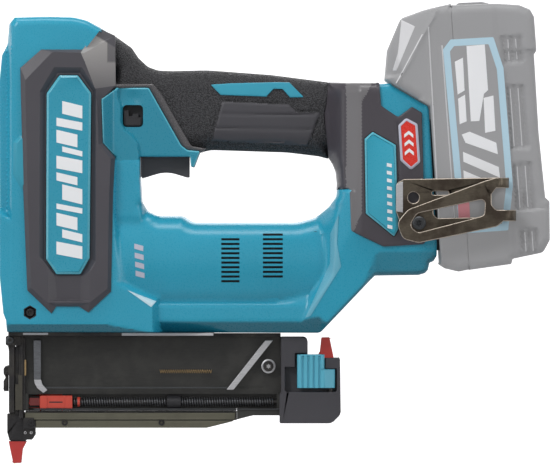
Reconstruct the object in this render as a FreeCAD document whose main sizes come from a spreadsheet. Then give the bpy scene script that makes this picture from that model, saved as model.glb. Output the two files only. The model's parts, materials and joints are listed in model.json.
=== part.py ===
import FreeCAD, Part
import math
import os
import re

from FreeCAD import Placement, Rotation, Vector

# Cordless pin nailer, millimetres. +Z is up, away from the work; +X runs from the nose to the battery.
# The origin is the bottom of the nose tip, on the driver's axis. The left side of the tool is at -Y.

SIZES = {
    "wall": 2.5,
    # half widths of the casing, from the split plane outwards
    "tower_half": 28,
    "grip_half": 14,
    "trigger_frame_half": 20,
    "rear_half": 33,
    "battery_half": 37.5,
    "panel_thick": 3.2,
    "rubber_thick": 3,
    "cover_thick": 2,
    # spring drive: the rod, spring and plunger stand beside the driver blade
    "rod_x": 22,
    "rod_radius": 4,
    "stroke": 61.5,
    "plunger_low": 140,
    "plunger_high": 160,
    "spring_top": 206,
    "blade_thick": 1.6,
    "blade_wide": 1.2,
    "seat_low": 62.5,
    "seat_high": 66,
    # motor and gears
    "motor_z": 94,
    "motor_radius": 20.5,
    "shaft_radius": 2.2,
    "lifter_z": 133,
    "lifter_pin_circle": 14,
    "lifter_pin_radius": 2,
    "lifter_shaft_radius": 3,
    "gear_module": 1.5,
    "planet_module": 0.85,
    "gear_low": 48.3,
    "gear_high": 53.3,
    # magazine: half of the pin channel's width, and how far out its two walls reach
    "pin_channel": 0.7,
    "magazine_half": 4,
    "pusher_rod_y": -3.8,
    "pusher_rod_z": 30,
    "pusher_rod_radius": 1.2,
    # nose
    "nose_pivot_x": -3.6,
    "nose_pivot_z": 60.2,
    "nose_pin_radius": 1,
    "exit_radius": 1.2,
    # fasteners
    "screw_radius": 2,
    "screw_head_radius": 3.6,
    "hook_screw_x": 196.2,
    "hook_screw_z": 117.6,
    "hook_plate": 1.5,
    "hook_inner": 38.2,
    "hook_outer": 49.5,
    # battery, built upright and leaned about its front foot
    "battery_x": 205.7,
    "battery_z": 108.3,
    "battery_lean": 4,
}

LIFTER_PINS = 9
LIFTER_PIN_STEP = 30.0
PINION_TEETH = 24
LIFTER_TEETH = 28
SUN_TEETH = 9
PLANET_TEETH = 15
RING_TEETH = 39
PRESSURE_ANGLE = math.radians(25)
GEAR_BACKLASH = 0.14

LEFT = 1
RIGHT = -1
SIDES = {"left": LEFT, "right": RIGHT}

doc = FreeCAD.newDocument("PinNailer")
sheet = doc.addObject("Spreadsheet::Sheet", "Sizes")
for row, (alias, value) in enumerate(SIZES.items(), start=1):
    sheet.set(f"A{row}", alias)
    sheet.set(f"B{row}", str(value))
    sheet.setAlias(f"B{row}", alias)
doc.recompute()

ALIAS = re.compile(r"[a-z]+(?:_[a-z]+)+|wall|stroke")
ALONG = {
    "x": Rotation(Vector(0, 1, 0), 90),
    "y": Rotation(Vector(1, 0, 0), -90),
    "z": Rotation(),
}


# ---------------------------------------------------------------- helpers


def bind(thing, prop, expression):
    """Tie a property to the sheet: each word of the expression is one of its aliases."""
    text = ALIAS.sub(lambda found: "Sizes." + found.group(), str(expression))
    thing.setExpression(prop, text)


def rounded(*corners):
    """A closed outline of straight runs. A corner given as (a, b, radius) is an arc."""
    ends = []
    edges = []
    for index, corner in enumerate(corners):
        here = Vector(corner[0], corner[1], 0)
        before = Vector(*corners[index - 1][:2], 0) - here
        after = Vector(*corners[(index + 1) % len(corners)][:2], 0) - here
        if len(corner) == 2:
            ends.append((here, here))
            continue
        half_angle = before.getAngle(after) / 2
        longest = 0.48 * min(before.Length, after.Length)
        reach = min(corner[2] / math.tan(half_angle), longest)
        radius = reach * math.tan(half_angle)
        before.normalize()
        after.normalize()
        towards = (before + after).normalize()
        middle = here + towards * (radius / math.sin(half_angle) - radius)
        start = here + before * reach
        end = here + after * reach
        edges.append(Part.Arc(start, middle, end))
        ends.append((start, end))
    for index, (start, _) in enumerate(ends):
        last = ends[index - 1][1]
        if last.distanceToPoint(start) > 1e-6:
            edges.append(Part.LineSegment(last, start))
    return edges


def rectangle(left, low, right, high, radius=0):
    corners = [(left, low), (right, low), (right, high), (left, high)]
    return rounded(*[(a, b, radius) if radius else (a, b) for a, b in corners])


def circle(across, up, radius):
    return [Part.Circle(Vector(across, up, 0), Vector(0, 0, 1), radius)]


def new_body(label):
    body = doc.addObject("PartDesign::Body", label)
    body.Label = label
    return body


def draw(body, curves, offset, role):
    """A sketch on one of the body's own origin planes, moved along its normal."""
    plane = next(item for item in body.Origin.OriginFeatures if item.Role == role)
    sketch = body.newObject("Sketcher::SketchObject", body.Label + "_outline")
    sketch.AttachmentSupport = [(plane, "")]
    sketch.MapMode = "FlatFace"
    bind(sketch, ".AttachmentOffset.Base.z", offset)
    sketch.addGeometry(curves)
    return sketch


def pad(body, curves, start, end, side=LEFT, role="XZ_Plane"):
    """Material between two distances out from the plane. On XZ, LEFT is towards -Y."""
    sketch = draw(body, curves, f"({start}) * {side}", role)
    feature = body.newObject("PartDesign::Pad", body.Label + "_pad")
    feature.Profile = sketch
    bind(feature, "Length", f"({end}) - ({start})")
    feature.Reversed = side == RIGHT
    return feature


def pocket(body, curves, start, end, side=LEFT, role="XZ_Plane"):
    """A cut between two distances out from the plane, the same way round as pad."""
    sketch = draw(body, curves, f"({start}) * {side}", role)
    feature = body.newObject("PartDesign::Pocket", body.Label + "_pocket")
    feature.Profile = sketch
    bind(feature, "Length", f"({end}) - ({start})")
    feature.Reversed = side == LEFT
    return feature


def block(label, across, deep, tall):
    """A box from (low, high) pairs of expressions along X, Y and Z."""
    made = doc.addObject("Part::Box", label)
    for prop, axis, (low, high) in zip(("Length", "Width", "Height"), "xyz", (across, deep, tall)):
        bind(made, prop, f"({high}) - ({low})")
        bind(made, ".Placement.Base." + axis, low)
    return made


def rod(label, radius, start, end, axis, **place):
    """A cylinder along an axis, from start to end; place names its other coordinates."""
    made = doc.addObject("Part::Cylinder", label)
    made.Placement = Placement(Vector(), ALONG[axis])
    bind(made, "Radius", radius)
    bind(made, "Height", f"({end}) - ({start})")
    bind(made, ".Placement.Base." + axis, start)
    for other, at in place.items():
        bind(made, ".Placement.Base." + other, at)
    return made


def fuse(label, *pieces):
    made = doc.addObject("Part::MultiFuse", label)
    made.Shapes = list(pieces)
    made.Label = label
    return made


def cut(label, base, *tools):
    made = doc.addObject("Part::Cut", label)
    made.Base = base
    made.Tool = tools[0] if len(tools) == 1 else fuse(label + "_tools", *tools)
    made.Label = label
    return made


def group(label, *pieces):
    made = doc.addObject("Part::Compound", label)
    made.Links = list(pieces)
    made.Label = label
    return made


def shaped(label, shape):
    """A feature whose shape is worked out here from the sheet's values."""
    made = doc.addObject("Part::Feature", label)
    made.Shape = shape
    made.Label = label
    return made


def coil(label, mean_radius, wire_radius, length, turns, base, axis="z"):
    """A compression spring wound about an axis through base, length long over its wire."""
    body = new_body(label)
    sketch = draw(body, circle(mean_radius, 0, wire_radius), 0, "XZ_Plane")
    spring = body.newObject("PartDesign::AdditiveHelix", label + "_coil")
    spring.Profile = sketch
    spring.ReferenceAxis = (sketch, ["V_Axis"])
    spring.Mode = 0
    rise = length - 2 * wire_radius
    spring.Pitch = rise / turns
    spring.Height = rise
    body.Placement = Placement(base, ALONG[axis])
    return body


def lean_battery(body):
    """Stand a piece that is drawn upright in the battery's own frame where the battery is."""
    body.Placement = Placement(Vector(), Rotation(Vector(0, 1, 0), -SIZES["battery_lean"]))
    bind(body, ".Placement.Base.x", "battery_x")
    bind(body, ".Placement.Base.z", "battery_z")
    return body


def from_battery(across, up):
    """A point of the battery's frame in the tool's frame."""
    lean = math.radians(SIZES["battery_lean"])
    return (
        SIZES["battery_x"] + across * math.cos(lean) - up * math.sin(lean),
        SIZES["battery_z"] + across * math.sin(lean) + up * math.cos(lean),
    )


def involute(angle):
    return math.tan(angle) - angle


def gear_blank(
    teeth, module, low, high, centre_z, addendum=0.85, dedendum=1.2, turn=0.0, backlash=GEAR_BACKLASH
):
    """A spur gear along X about (y=0, z=centre_z). At turn 0 a tooth points to +Z."""
    pitch = teeth * module / 2
    base = pitch * math.cos(PRESSURE_ANGLE)
    tip = pitch + addendum * module
    root = pitch - dedendum * module
    steps = [root] + [max(root, base) + (tip - max(root, base)) * part / 4 for part in range(5)]
    at_pitch = math.pi / (2 * teeth) - backlash / (2 * pitch) + involute(PRESSURE_ANGLE)
    flank = []
    for radius in steps:
        angle = math.acos(min(1.0, base / radius))
        flank.append((radius, at_pitch - involute(angle)))
    corners = []
    for tooth in range(teeth):
        middle = math.radians(turn) + 2 * math.pi * tooth / teeth
        for radius, half in flank:
            corners.append((radius, middle - half))
        for radius, half in reversed(flank):
            corners.append((radius, middle + half))
    points = [
        Vector(low, radius * math.sin(angle), centre_z + radius * math.cos(angle))
        for radius, angle in corners
    ]
    outline = []
    for index, point in enumerate(points):
        if point.distanceToPoint(points[index - 1]) > 1e-4:
            outline.append(point)
    face = Part.Face(Part.makePolygon(outline + outline[:1]))
    return face.extrude(Vector(high - low, 0, 0))


# ---------------------------------------------------------------- casing outlines

TOWER = [
    (-4.5, 64.4),
    (-4.7, 70.1),
    (-8.2, 91.6, 60),
    (-8.3, 186.3, 30),
    (-4.4, 204.3, 8),
    (-2.8, 218, 4),
    (28.2, 218.1, 20),
    (48, 209.2),
    (50, 161),
    (60.3, 159),
    (60.3, 139.2),
    (61, 127.9),
    (61, 64.2),
]
TOWER_CAVITY = [
    (-1.8, 66.9),
    (-5.2, 92),
    (-5.3, 186),
    (-0.3, 215),
    (28, 215.2),
    (45.8, 207),
    (48.2, 198),
    (48.4, 158.5),
    (57.7, 158.5),
    (57.7, 66.9),
]
HANDLE = [
    (47, 150),
    (47, 209.5),
    (56.1, 203.4, 3),
    (62, 194.5, 6),
    (69, 192.2, 8),
    (93.1, 192.5, 90),
    (124.2, 190.1, 90),
    (160, 185.9),
    (160, 122),
    (154.5, 126.5, 6),
    (156.6, 134, 8),
    (154, 147, 9),
    (132.2, 152.2, 60),
    (94.7, 153.4, 20),
    (84.5, 149.7),
]
HANDLE_CAVITY = [
    (46.5, 152.7),
    (46.5, 204),
    (54, 201),
    (60.5, 192.2, 3),
    (69, 189.4, 6),
    (93, 189.8, 90),
    (124, 187.4, 90),
    (164, 183),
    (164, 128),
    (159.5, 134),
    (157, 148.5, 9),
    (132.4, 154.9, 60),
    (94.9, 156.1, 20),
    (84, 152.7),
]
TRIGGER_FRAME = [
    (41.6, 178),
    (49, 183.5, 2),
    (64.6, 183.5, 3),
    (81, 154.5, 3),
    (84.5, 149.7),
    (48.3, 149.7),
    (42, 156.6),
]
MOTOR_HOUSING = [
    (58, 64.2),
    (148.2, 63.7, 4),
    (173, 90),
    (173, 110),
    (156, 129),
    (146.3, 120.3, 8),
    (137.4, 117.8, 10),
    (87.5, 117.8, 4),
    (81.3, 121.1, 4),
    (66, 121.1, 5),
    (61, 127.9),
    (58, 128),
]
MOTOR_CAVITY = [
    (55, 66.9),
    (147.4, 66.9, 3),
    (168, 90),
    (168, 108),
    (156, 121.5),
    (147.5, 117.2, 6),
    (137.4, 115.2, 8),
    (86.5, 115.2, 3),
    (80.5, 118.4, 3),
    (55, 118.4),
]
REAR_FRAME = [
    (156.4, 128),
    (158, 186),
    (182, 185.9, 2),
    (183.8, 183.3),
    (200, 174.2),
    (200.7, 172.8),
    (205.2, 108.3),
    (205.1, 101.6),
    (203.4, 99),
    (200.7, 94.6),
    (196.2, 92.2),
    (173, 91.5),
    (156, 108),
]
REAR_CAVITY = [
    (159.5, 128),
    (160.8, 183.3),
    (181, 183.3),
    (197.3, 172.6),
    (202.3, 104),
    (198, 95.3),
    (174.2, 94.2),
    (159.5, 109.5),
]
SIDE_PANEL = [
    (12.3, 202.1, 4),
    (2.1, 193.1, 4),
    (3.5, 133.8),
    (5.5, 84.8, 4),
    (17.3, 73.5),
    (19.6, 76.9),
    (30.8, 76.9),
    (35.3, 74),
    (46.3, 84.2, 4),
    (48.3, 149.5),
    (42, 156.6, 2),
    (41.4, 177.4, 2),
    (48.5, 184.5),
    (48, 209),
    (40.4, 212.5, 2),
    (32.5, 202.1),
]
NAME_PLATE = [
    (21.2, 189.5, 2),
    (30.2, 189.5, 2),
    (36.7, 180.8, 3),
    (35.9, 100.5, 3),
    (31.4, 92.6, 2),
    (19.8, 92.6, 2),
    (14.7, 100, 3),
    (15, 180.8, 3),
]
GRIP = [
    (49.5, 185),
    (49.5, 208),
    (56.1, 203.2, 3),
    (62, 194.3, 6),
    (69, 192, 8),
    (93.1, 192.3, 90),
    (124.2, 189.9, 90),
    (153, 186.5, 2),
    (150, 171),
    (152.5, 149.2, 2),
    (132.2, 152.4, 60),
    (94.7, 153.6, 20),
    (86, 152.4),
    (66, 185, 3),
]
REAR_COVER = [
    (156.6, 133.9),
    (162.4, 134.3),
    (163.1, 113.7, 2),
    (179, 106.1, 3),
    (199.2, 107.3, 2),
    (197.7, 171.3, 2),
    (192.8, 174.2),
    (186.1, 169.1, 2),
    (177.9, 174.6, 2),
    (177.5, 185.3, 1),
    (158.3, 185.3),
]
LOCK_WINDOW = rectangle(51.7, 164.2, 62, 175.3, 2)

# casing screws: place and the half width of the casing there
SCREWS = {
    "tower_half": [(2, 200), (44, 204), (52, 70.4), (146, 111.5), (146, 71.5)],
    "grip_half": [(78, 184.5), (140, 180.5)],
    "rear_half": [(189.5, 164), (190, 101.5)],
}
SCREW_BOSS_RADIUS = 3.5

# the nose latch's pin, and the upright shaft of the magazine latch
LATCH_PIN_PLACE = (-5.6, 45.4)
LATCH_PIN_RADIUS = 0.6
LATCH_SHAFT_PLACE = (153.5, -9.4)
LATCH_SHAFT_RADIUS = 1.2

VENT_PITCH = 2.27
VENT_HEIGHT = 1.1
VENT_ROWS = 10
VENT_COLUMNS = [(100, 108.9, 89.2), (120.3, 130, 91.5)]

CONTACT_SLOTS = 4
CONTACT_FIRST = -15.4
CONTACT_PITCH = 9.6
CONTACT_WIDTH = 1.4


# ---------------------------------------------------------------- casing


def vent_slots():
    slots = []
    for left, right, low in VENT_COLUMNS:
        for index in range(VENT_ROWS):
            height = low + index * VENT_PITCH
            slots += rectangle(left, height - VENT_HEIGHT / 2, right, height + VENT_HEIGHT / 2)
    return slots


def make_housing(name, side):
    body = new_body("housing_" + name)
    rear_wall = "rear_half - wall"
    pad(body, rounded(*TOWER), 0, "tower_half", side)
    pad(body, rounded(*HANDLE), 0, "grip_half", side)
    pad(body, rounded(*TRIGGER_FRAME), 0, "trigger_frame_half", side)
    pad(body, rounded(*MOTOR_HOUSING), 0, "tower_half", side)
    pad(body, rounded(*REAR_FRAME), 0, "rear_half", side)
    pocket(body, rounded(*TOWER_CAVITY), 0, "tower_half - wall", side)
    pocket(body, rounded(*HANDLE_CAVITY), 0, "grip_half - wall", side)
    pocket(body, rounded(*MOTOR_CAVITY), 0, "tower_half - wall", side)
    pocket(body, rounded(*REAR_CAVITY), 0, rear_wall, side)
    # the drive's seat plate fills the floor under the tower
    pocket(body, rectangle(-4.4, 60, 57.5, 68), 0, 20.5, side)
    pocket(body, rectangle(-10, 65.6, -0.2, 72.2), 0, 4.4, side)
    # the trigger's mouth and the lock button's window
    pocket(body, rectangle(60.4, 140, 84.9, 157), 0, 7.4, side)
    pocket(body, LOCK_WINDOW, 0, "trigger_frame_half + 1", side)
    opening = [from_battery(*corner) for corner in [(-9, -5), (4, -5), (4, 61), (-9, 61)]]
    pocket(body, rounded(*opening), 0, 21, side)
    pocket(body, vent_slots(), "tower_half - wall - 1", "tower_half + 1", side)
    for half, places in SCREWS.items():
        bosses = [edge for x, z in places for edge in circle(x, z, SCREW_BOSS_RADIUS)]
        pad(body, bosses, 0, f"{half} - wall + 0.5", side)
        bores = [edge for x, z in places for edge in circle(x, z, SIZES["screw_radius"] + 0.05)]
        if side == LEFT:
            pocket(body, bores, 0, f"{half} - 5", side)
        else:
            heads = [edge for x, z in places for edge in circle(x, z, SIZES["screw_head_radius"] - 0.2)]
            pocket(body, bores, 0, f"{half} + 1", side)
            pocket(body, heads, f"{half} - 2.6", f"{half} + 1", side)
    hook_hole = circle(SIZES["hook_screw_x"], SIZES["hook_screw_z"], SIZES["screw_radius"])
    pocket(body, hook_hole, f"{rear_wall} - 1", "rear_half + 1", side)
    return body


def make_housing_screws():
    screws = []
    for half, places in SCREWS.items():
        for index, (x, z) in enumerate(places):
            name = f"casing_screw_{half}_{index}"
            seat = f"{half} - 2.5"
            shank = rod(name + "_shank", "screw_radius", f"0 - {half} + 7", seat, "y", x=x, z=z)
            head = rod(name + "_head", "screw_head_radius - 0.5", seat, f"{half} - 0.3", "y", x=x, z=z)
            screws.append(fuse(name, shank, head))
    return group("housing_screws", *screws)


def make_side_panel(name, side):
    body = new_body("side_panel_" + name)
    pad(body, rounded(*SIDE_PANEL), "tower_half", "tower_half + panel_thick", side)
    pocket(body, rounded(*NAME_PLATE), "tower_half + 1.6", "tower_half + panel_thick + 1", side)
    return body


def make_name_plate(name, side):
    body = new_body("name_plate_" + name)
    pad(body, rounded(*NAME_PLATE), "tower_half + 1.6", "tower_half + panel_thick + 0.4", side)
    return body


def make_grip(name, side):
    body = new_body("grip_" + name)
    pad(body, rounded(*GRIP), "grip_half", "grip_half + rubber_thick", side)
    pocket(body, rounded(*[(x, z) for x, z, *_ in TRIGGER_FRAME]), "grip_half - 1", "grip_half + 8", side)
    return body


def make_rear_cover(name, side):
    """The rear cover, with the boss that a belt hook is screwed to."""
    body = new_body("rear_cover_" + name)
    boss = circle(SIZES["hook_screw_x"], SIZES["hook_screw_z"], 6)
    bore = circle(SIZES["hook_screw_x"], SIZES["hook_screw_z"], SIZES["screw_radius"])
    pad(body, rounded(*REAR_COVER), "rear_half", "rear_half + cover_thick", side)
    pad(body, boss, "rear_half + cover_thick - 1", "hook_inner", side)
    pocket(body, bore, "rear_half - 1", "hook_inner + 1", side)
    return body


def make_led_lamp():
    body = new_body("led_lamp")
    pad(body, rectangle(-4.3, 66.3, -1.2, 71.9, 1), -4, 4)
    return body


# ---------------------------------------------------------------- handle controls


def make_trigger():
    """A finger-shaped lever that slides up into the handle."""
    body = new_body("trigger")
    finger = rounded(
        (60.9, 139.8, 1), (62.4, 139.8, 1), (72.8, 143, 30), (83, 139.9, 1), (84.4, 139.9, 1), (84.4, 155),
        (60.9, 155),
    )
    pad(body, finger, -6.8, 6.8)
    return body


def make_trigger_spring():
    return coil("trigger_spring", 3.2, 0.4, 12, 5, Vector(72.5, 0, 155.5))


def make_lock_button():
    body = new_body("lock_button")
    pad(body, rectangle(52, 164.5, 61.6, 175, 1.6), -16.2, "trigger_frame_half + 0.3")
    return body


def make_main_switch():
    return block("main_switch", (64, 90), (-8, 8), (167.5, 181))


def make_controller():
    """The potted circuit board behind the handle, with its row of capacitors."""
    board = block("controller_board", (166, 178), (-27, 27), (120, 160))
    caps = [rod(f"capacitor_{index}", 4, 178, 186, "x", y=-18 + 12 * index, z=140) for index in range(4)]
    return fuse("controller", board, *caps)


def make_terminal_block():
    """The T-shaped rail that the battery slides down on, with four slots for its contacts."""
    body = new_body("terminal_block")
    tee = rounded(
        (-6.8, -24), (-3.9, -24), (-3.9, -20.5), (3.7, -20.5), (3.7, -25.5), (8.4, -25.5),
        (8.4, 25.5), (3.7, 25.5), (3.7, 20.5), (-3.9, 20.5), (-3.9, 24), (-6.8, 24),
    )
    pad(body, tee, -4, 60, role="XY_Plane")
    slots = []
    for index in range(CONTACT_SLOTS):
        low = CONTACT_FIRST + CONTACT_PITCH * index
        slots += rectangle(3.4, low, 8.4, low + CONTACT_WIDTH)
    pocket(body, slots, 8, 30, role="XY_Plane")
    return lean_battery(body)


# ---------------------------------------------------------------- motor and gears


def make_motor_stator():
    """A ring of laminations with six wound teeth."""
    low, high, z = 84, 114, "motor_z"
    ring = cut(
        "stator_ring",
        rod("stator_outside", "motor_radius", low, high, "x", z=z),
        rod("stator_inside", "motor_radius - 4", low - 1, high + 1, "x", z=z),
    )
    teeth = []
    for index in range(6):
        tooth = doc.addObject("Part::Box", f"stator_tooth_{index}")
        bind(tooth, "Length", high - low)
        bind(tooth, "Width", 7)
        bind(tooth, "Height", "motor_radius - 14")
        turn = Rotation(Vector(1, 0, 0), 60 * index)
        corner = Vector(low, 0, SIZES["motor_z"]) + turn.multVec(Vector(0, -3.5, 11.5))
        tooth.Placement = Placement(corner, turn)
        teeth.append(tooth)
    return fuse("motor_stator", ring, *teeth)


def make_motor_rotor():
    """The shaft with its magnet core, and the sun gear cut on its front end."""
    z = SIZES["motor_z"]
    axis = Vector(1, 0, 0)
    shaft = Part.makeCylinder(SIZES["shaft_radius"], 63, Vector(73.5, 0, z), axis)
    core = Part.makeCylinder(10.6, 30, Vector(84, 0, z), axis)
    sun = gear_blank(SUN_TEETH, SIZES["planet_module"], 62, 73.5, z)
    return shaped("motor_rotor", shaft.fuse([core, sun]).removeSplitter())


def make_cooling_fan():
    hub = cut(
        "fan_hub",
        rod("fan_hub_outside", 5, 119, 129, "x", z="motor_z"),
        rod("fan_bore", "shaft_radius", 118, 130, "x", z="motor_z"),
    )
    disc = cut(
        "fan_disc",
        rod("fan_disc_outside", 18.5, 119, 120.5, "x", z="motor_z"),
        rod("fan_disc_bore", "shaft_radius", 118, 121, "x", z="motor_z"),
    )
    blades = []
    for index in range(11):
        blade = doc.addObject("Part::Box", f"fan_blade_{index}")
        bind(blade, "Length", 8)
        bind(blade, "Width", 1.2)
        bind(blade, "Height", 13.6)
        turn = Rotation(Vector(1, 0, 0), 360 / 11 * index)
        corner = Vector(120.5, 0, SIZES["motor_z"]) + turn.multVec(Vector(0, -0.6, 4.6))
        blade.Placement = Placement(corner, turn)
        blades.append(blade)
    return fuse("cooling_fan", hub, disc, *blades)


def ring_along_x(label, outside, inside, low, high):
    return cut(
        label,
        rod(label + "_outside", outside, low, high, "x", z="motor_z"),
        rod(label + "_bore", inside, f"{low} - 1", f"{high} + 1", "x", z="motor_z"),
    )


def make_motor_bearings():
    bearings = [ring_along_x(f"bearing_{low}", 6, "shaft_radius + 0.05", low, low + 4) for low in (76, 132)]
    return group("motor_bearings", *bearings)


def make_motor_end_plates():
    plates = [ring_along_x(f"end_plate_{low}", "motor_radius", 6, low, low + 3.5) for low in (76.2, 132.2)]
    return group("motor_end_plates", *plates)


def make_gear_case():
    """The ring gear, closed in front, with an ear that carries the lifter's shaft."""
    z = SIZES["motor_z"]
    axis = Vector(1, 0, 0)
    case = Part.makeCylinder(SIZES["motor_radius"], 21, Vector(55, 0, z), axis)
    ear = Part.makeBox(2.3, 16, SIZES["lifter_z"] + 6 - z, Vector(55, -8, z))
    ring_space = gear_blank(RING_TEETH, SIZES["planet_module"], 61, 80, z, 1.2, 0.8, backlash=-GEAR_BACKLASH)
    hollow = Part.makeCylinder(14.6, 4, Vector(58, 0, z), axis)
    carrier_bore = Part.makeCylinder(5.05, 10, Vector(50, 0, z), axis)
    shaft_radius = SIZES["lifter_shaft_radius"] + 0.05
    shaft_bore = Part.makeCylinder(shaft_radius, 10, Vector(50, 0, SIZES["lifter_z"]), axis)
    return shaped("gear_case", case.fuse(ear).cut([ring_space, hollow, carrier_bore, shaft_bore]))


def planet_place(index):
    """Turns a planet about the motor's axis from the top to its place."""
    return Rotation(Vector(1, 0, 0), 120 * index)


def planet_distance():
    return SIZES["planet_module"] * (SUN_TEETH + PLANET_TEETH) / 2


def make_planet_gear(index):
    z = SIZES["motor_z"]
    top = z + planet_distance()
    axis = Vector(1, 0, 0)
    gear = gear_blank(PLANET_TEETH, SIZES["planet_module"], 62, 72, top)
    gear = gear.cut(Part.makeCylinder(1.54, 20, Vector(55, 0, top), axis))
    gear.rotate(Vector(0, 0, z), axis, 120 * index)
    return shaped(f"planet_gear_{index + 1}", gear)


def make_planet_carrier():
    """The planets' carrier in one piece with the pinion that drives the lifter."""
    z = SIZES["motor_z"]
    axis = Vector(1, 0, 0)
    disc = Part.makeCylinder(14, 2.6, Vector(58.5, 0, z), axis)
    hub = Part.makeCylinder(5, 8, Vector(52, 0, z), axis)
    pins = []
    for index in range(3):
        foot = Vector(58.5, 0, z) + planet_place(index).multVec(Vector(0, 0, planet_distance()))
        pins.append(Part.makeCylinder(1.5, 14, foot, axis))
    pinion = gear_blank(PINION_TEETH, SIZES["gear_module"], SIZES["gear_low"], SIZES["gear_high"], z)
    return shaped("planet_carrier", disc.fuse([hub, pinion] + pins))


def make_lifter_gear():
    """A gear whose face carries nine pins over two thirds of a circle, which lift the plunger's rack."""
    z = SIZES["lifter_z"]
    axis = Vector(1, 0, 0)
    half_tooth = 180 / LIFTER_TEETH
    low, high = SIZES["gear_low"], SIZES["gear_high"]
    gear = gear_blank(LIFTER_TEETH, SIZES["gear_module"], low, high, z, turn=half_tooth)
    shaft = Part.makeCylinder(SIZES["lifter_shaft_radius"], 20.6, Vector(36.6, 0, z), axis)
    pins = []
    for index in range(LIFTER_PINS):
        angle = math.radians(LIFTER_PIN_STEP * index)
        y = -SIZES["lifter_pin_circle"] * math.cos(angle)
        up = SIZES["lifter_pin_circle"] * math.sin(angle)
        pins.append(Part.makeCylinder(SIZES["lifter_pin_radius"], 8, Vector(41, y, z + up), axis))
    return shaped("lifter_gear", gear.fuse([shaft] + pins))


# ---------------------------------------------------------------- spring drive


def make_mechanism_frame():
    """The metal frame: a seat plate on the magazine, a back plate and a top plate."""
    body = new_body("mechanism_frame")
    profile = rounded(
        (-4, 62.5), (57, 62.5), (57, 66), (39.5, 66), (39.5, 209),
        (10, 209), (10, 206), (37, 206), (37, 66), (-4, 66),
    )
    pad(body, profile, -20, 20)
    pocket(body, rectangle(36, 66, 41, 213), 10.5, 21)
    pocket(body, rectangle(9, 205, 41, 213), -21, -16)
    bores = circle(SIZES["rod_x"], 0, SIZES["rod_radius"]) + rectangle(-1.1, -1, 1.1, 1)
    pocket(body, bores, 60, 215, role="XY_Plane")
    shaft_bore = circle(0, SIZES["lifter_z"], SIZES["lifter_shaft_radius"] + 0.05)
    pocket(body, shaft_bore, 35, 41, role="YZ_Plane")
    return body


def make_guide_rod():
    return rod("guide_rod", "rod_radius", "seat_low", "spring_top + 3", "z", x="rod_x")


def make_main_spring():
    length = SIZES["spring_top"] - SIZES["plunger_high"] - 0.2
    return coil("main_spring", 11.5, 1.9, length, 8.5, Vector(SIZES["rod_x"], 0, SIZES["plunger_high"] + 2))


def make_plunger():
    """The plunger, with the blade's holder in front and the lifter's rack on its left side."""
    body = new_body("plunger")
    foot, crown = SIZES["plunger_low"], SIZES["plunger_high"]
    pad(body, rectangle(8.5, foot, 35.5, crown, 2), -13, 13)
    pad(body, rectangle(-2.5, foot, 9, foot + 12), -5, 5)
    pad(body, rectangle(25, 144, 40.6, 156), 12, 20)
    low = SIZES["lifter_z"] - rack_pitch() / 2
    pad(body, rectangle(40.5, low, 47.5, low + LIFTER_PINS * rack_pitch()), 12, 20)
    slots = []
    for index in range(LIFTER_PINS):
        middle = SIZES["lifter_z"] + index * rack_pitch()
        slots += rectangle(40, middle - 2.45, 48, middle + 2.45)
    pocket(body, slots, 11, 16.8)
    rod_bore = circle(SIZES["rod_x"], 0, SIZES["rod_radius"] + 0.06)
    half_thick = SIZES["blade_thick"] / 2
    half_wide = SIZES["blade_wide"] / 2
    blade_slot = rectangle(-half_thick, -half_wide, half_thick, half_wide)
    pocket(body, rod_bore, foot - 5, crown + 5, role="XY_Plane")
    pocket(body, blade_slot, foot - 5, foot + 10, role="XY_Plane")
    return body


def rack_pitch():
    return SIZES["lifter_pin_circle"] * math.radians(LIFTER_PIN_STEP)


def make_driver_blade():
    across = ("0 - blade_thick / 2", "blade_thick / 2")
    deep = ("0 - blade_wide / 2", "blade_wide / 2")
    return block("driver_blade", across, deep, ("stroke", "plunger_low + 10"))


def make_bumper():
    return cut(
        "bumper",
        rod("bumper_outside", 12.5, "seat_high", 78, "z", x="rod_x"),
        rod("bumper_bore", "rod_radius + 0.5", 60, 80, "z", x="rod_x"),
    )


# ---------------------------------------------------------------- nose


def make_driver_guide():
    """The fixed nose: a back plate with ears for the door's pin, and the block below the door."""
    body = new_body("driver_guide")
    pad(body, rectangle(1, 22, 2.9, 62.4), -8, 8)
    pad(body, rounded((-5, 15.2, 1), (-3.9, 11.1), (4.5, 11.1), (4.5, 24.2), (-5, 24.2)), -4.2, 4.2)
    pad(body, rounded((4, 11.6), (7.4, 11.6, 1), (8.8, 14, 1), (8.8, 16.9), (4, 16.9)), -3, 3)
    for side in (LEFT, RIGHT):
        pad(body, rectangle(-5.6, 57.6, 2, 62.4, 1), 7.1, 8.9, side)
    channel = rectangle(-0.95, -0.75, 0.95, 0.75)
    pocket(body, channel, 10, 25, role="XY_Plane")
    pocket(body, rectangle(0.5, 25.8, 3.5, 61.6), -0.8, 0.8)
    pivot = circle(SIZES["nose_pivot_x"], SIZES["nose_pivot_z"], SIZES["nose_pin_radius"])
    pocket(body, pivot, -10, 10)
    return body


def make_nose_door():
    """The front plate that swings open to clear a jam, with ears for its latch."""
    body = new_body("nose_door")
    plate = rounded((-4.1, 24.8), (-1.3, 24.8), (-1.3, 61), (-3.6, 62, 1), (-5, 60.2, 1), (-4.1, 55))
    pad(body, plate, -6.8, 6.8)
    for side in (LEFT, RIGHT):
        pad(body, rounded((-6.8, 43.8, 1), (-4, 43.2), (-4, 48), (-6.2, 47.4, 1)), 4.4, 6.2, side)
    pivot = circle(SIZES["nose_pivot_x"], SIZES["nose_pivot_z"], SIZES["nose_pin_radius"] + 0.05)
    pocket(body, pivot, -10, 10)
    pocket(body, circle(*LATCH_PIN_PLACE, LATCH_PIN_RADIUS), -10, 10)
    return body


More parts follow.
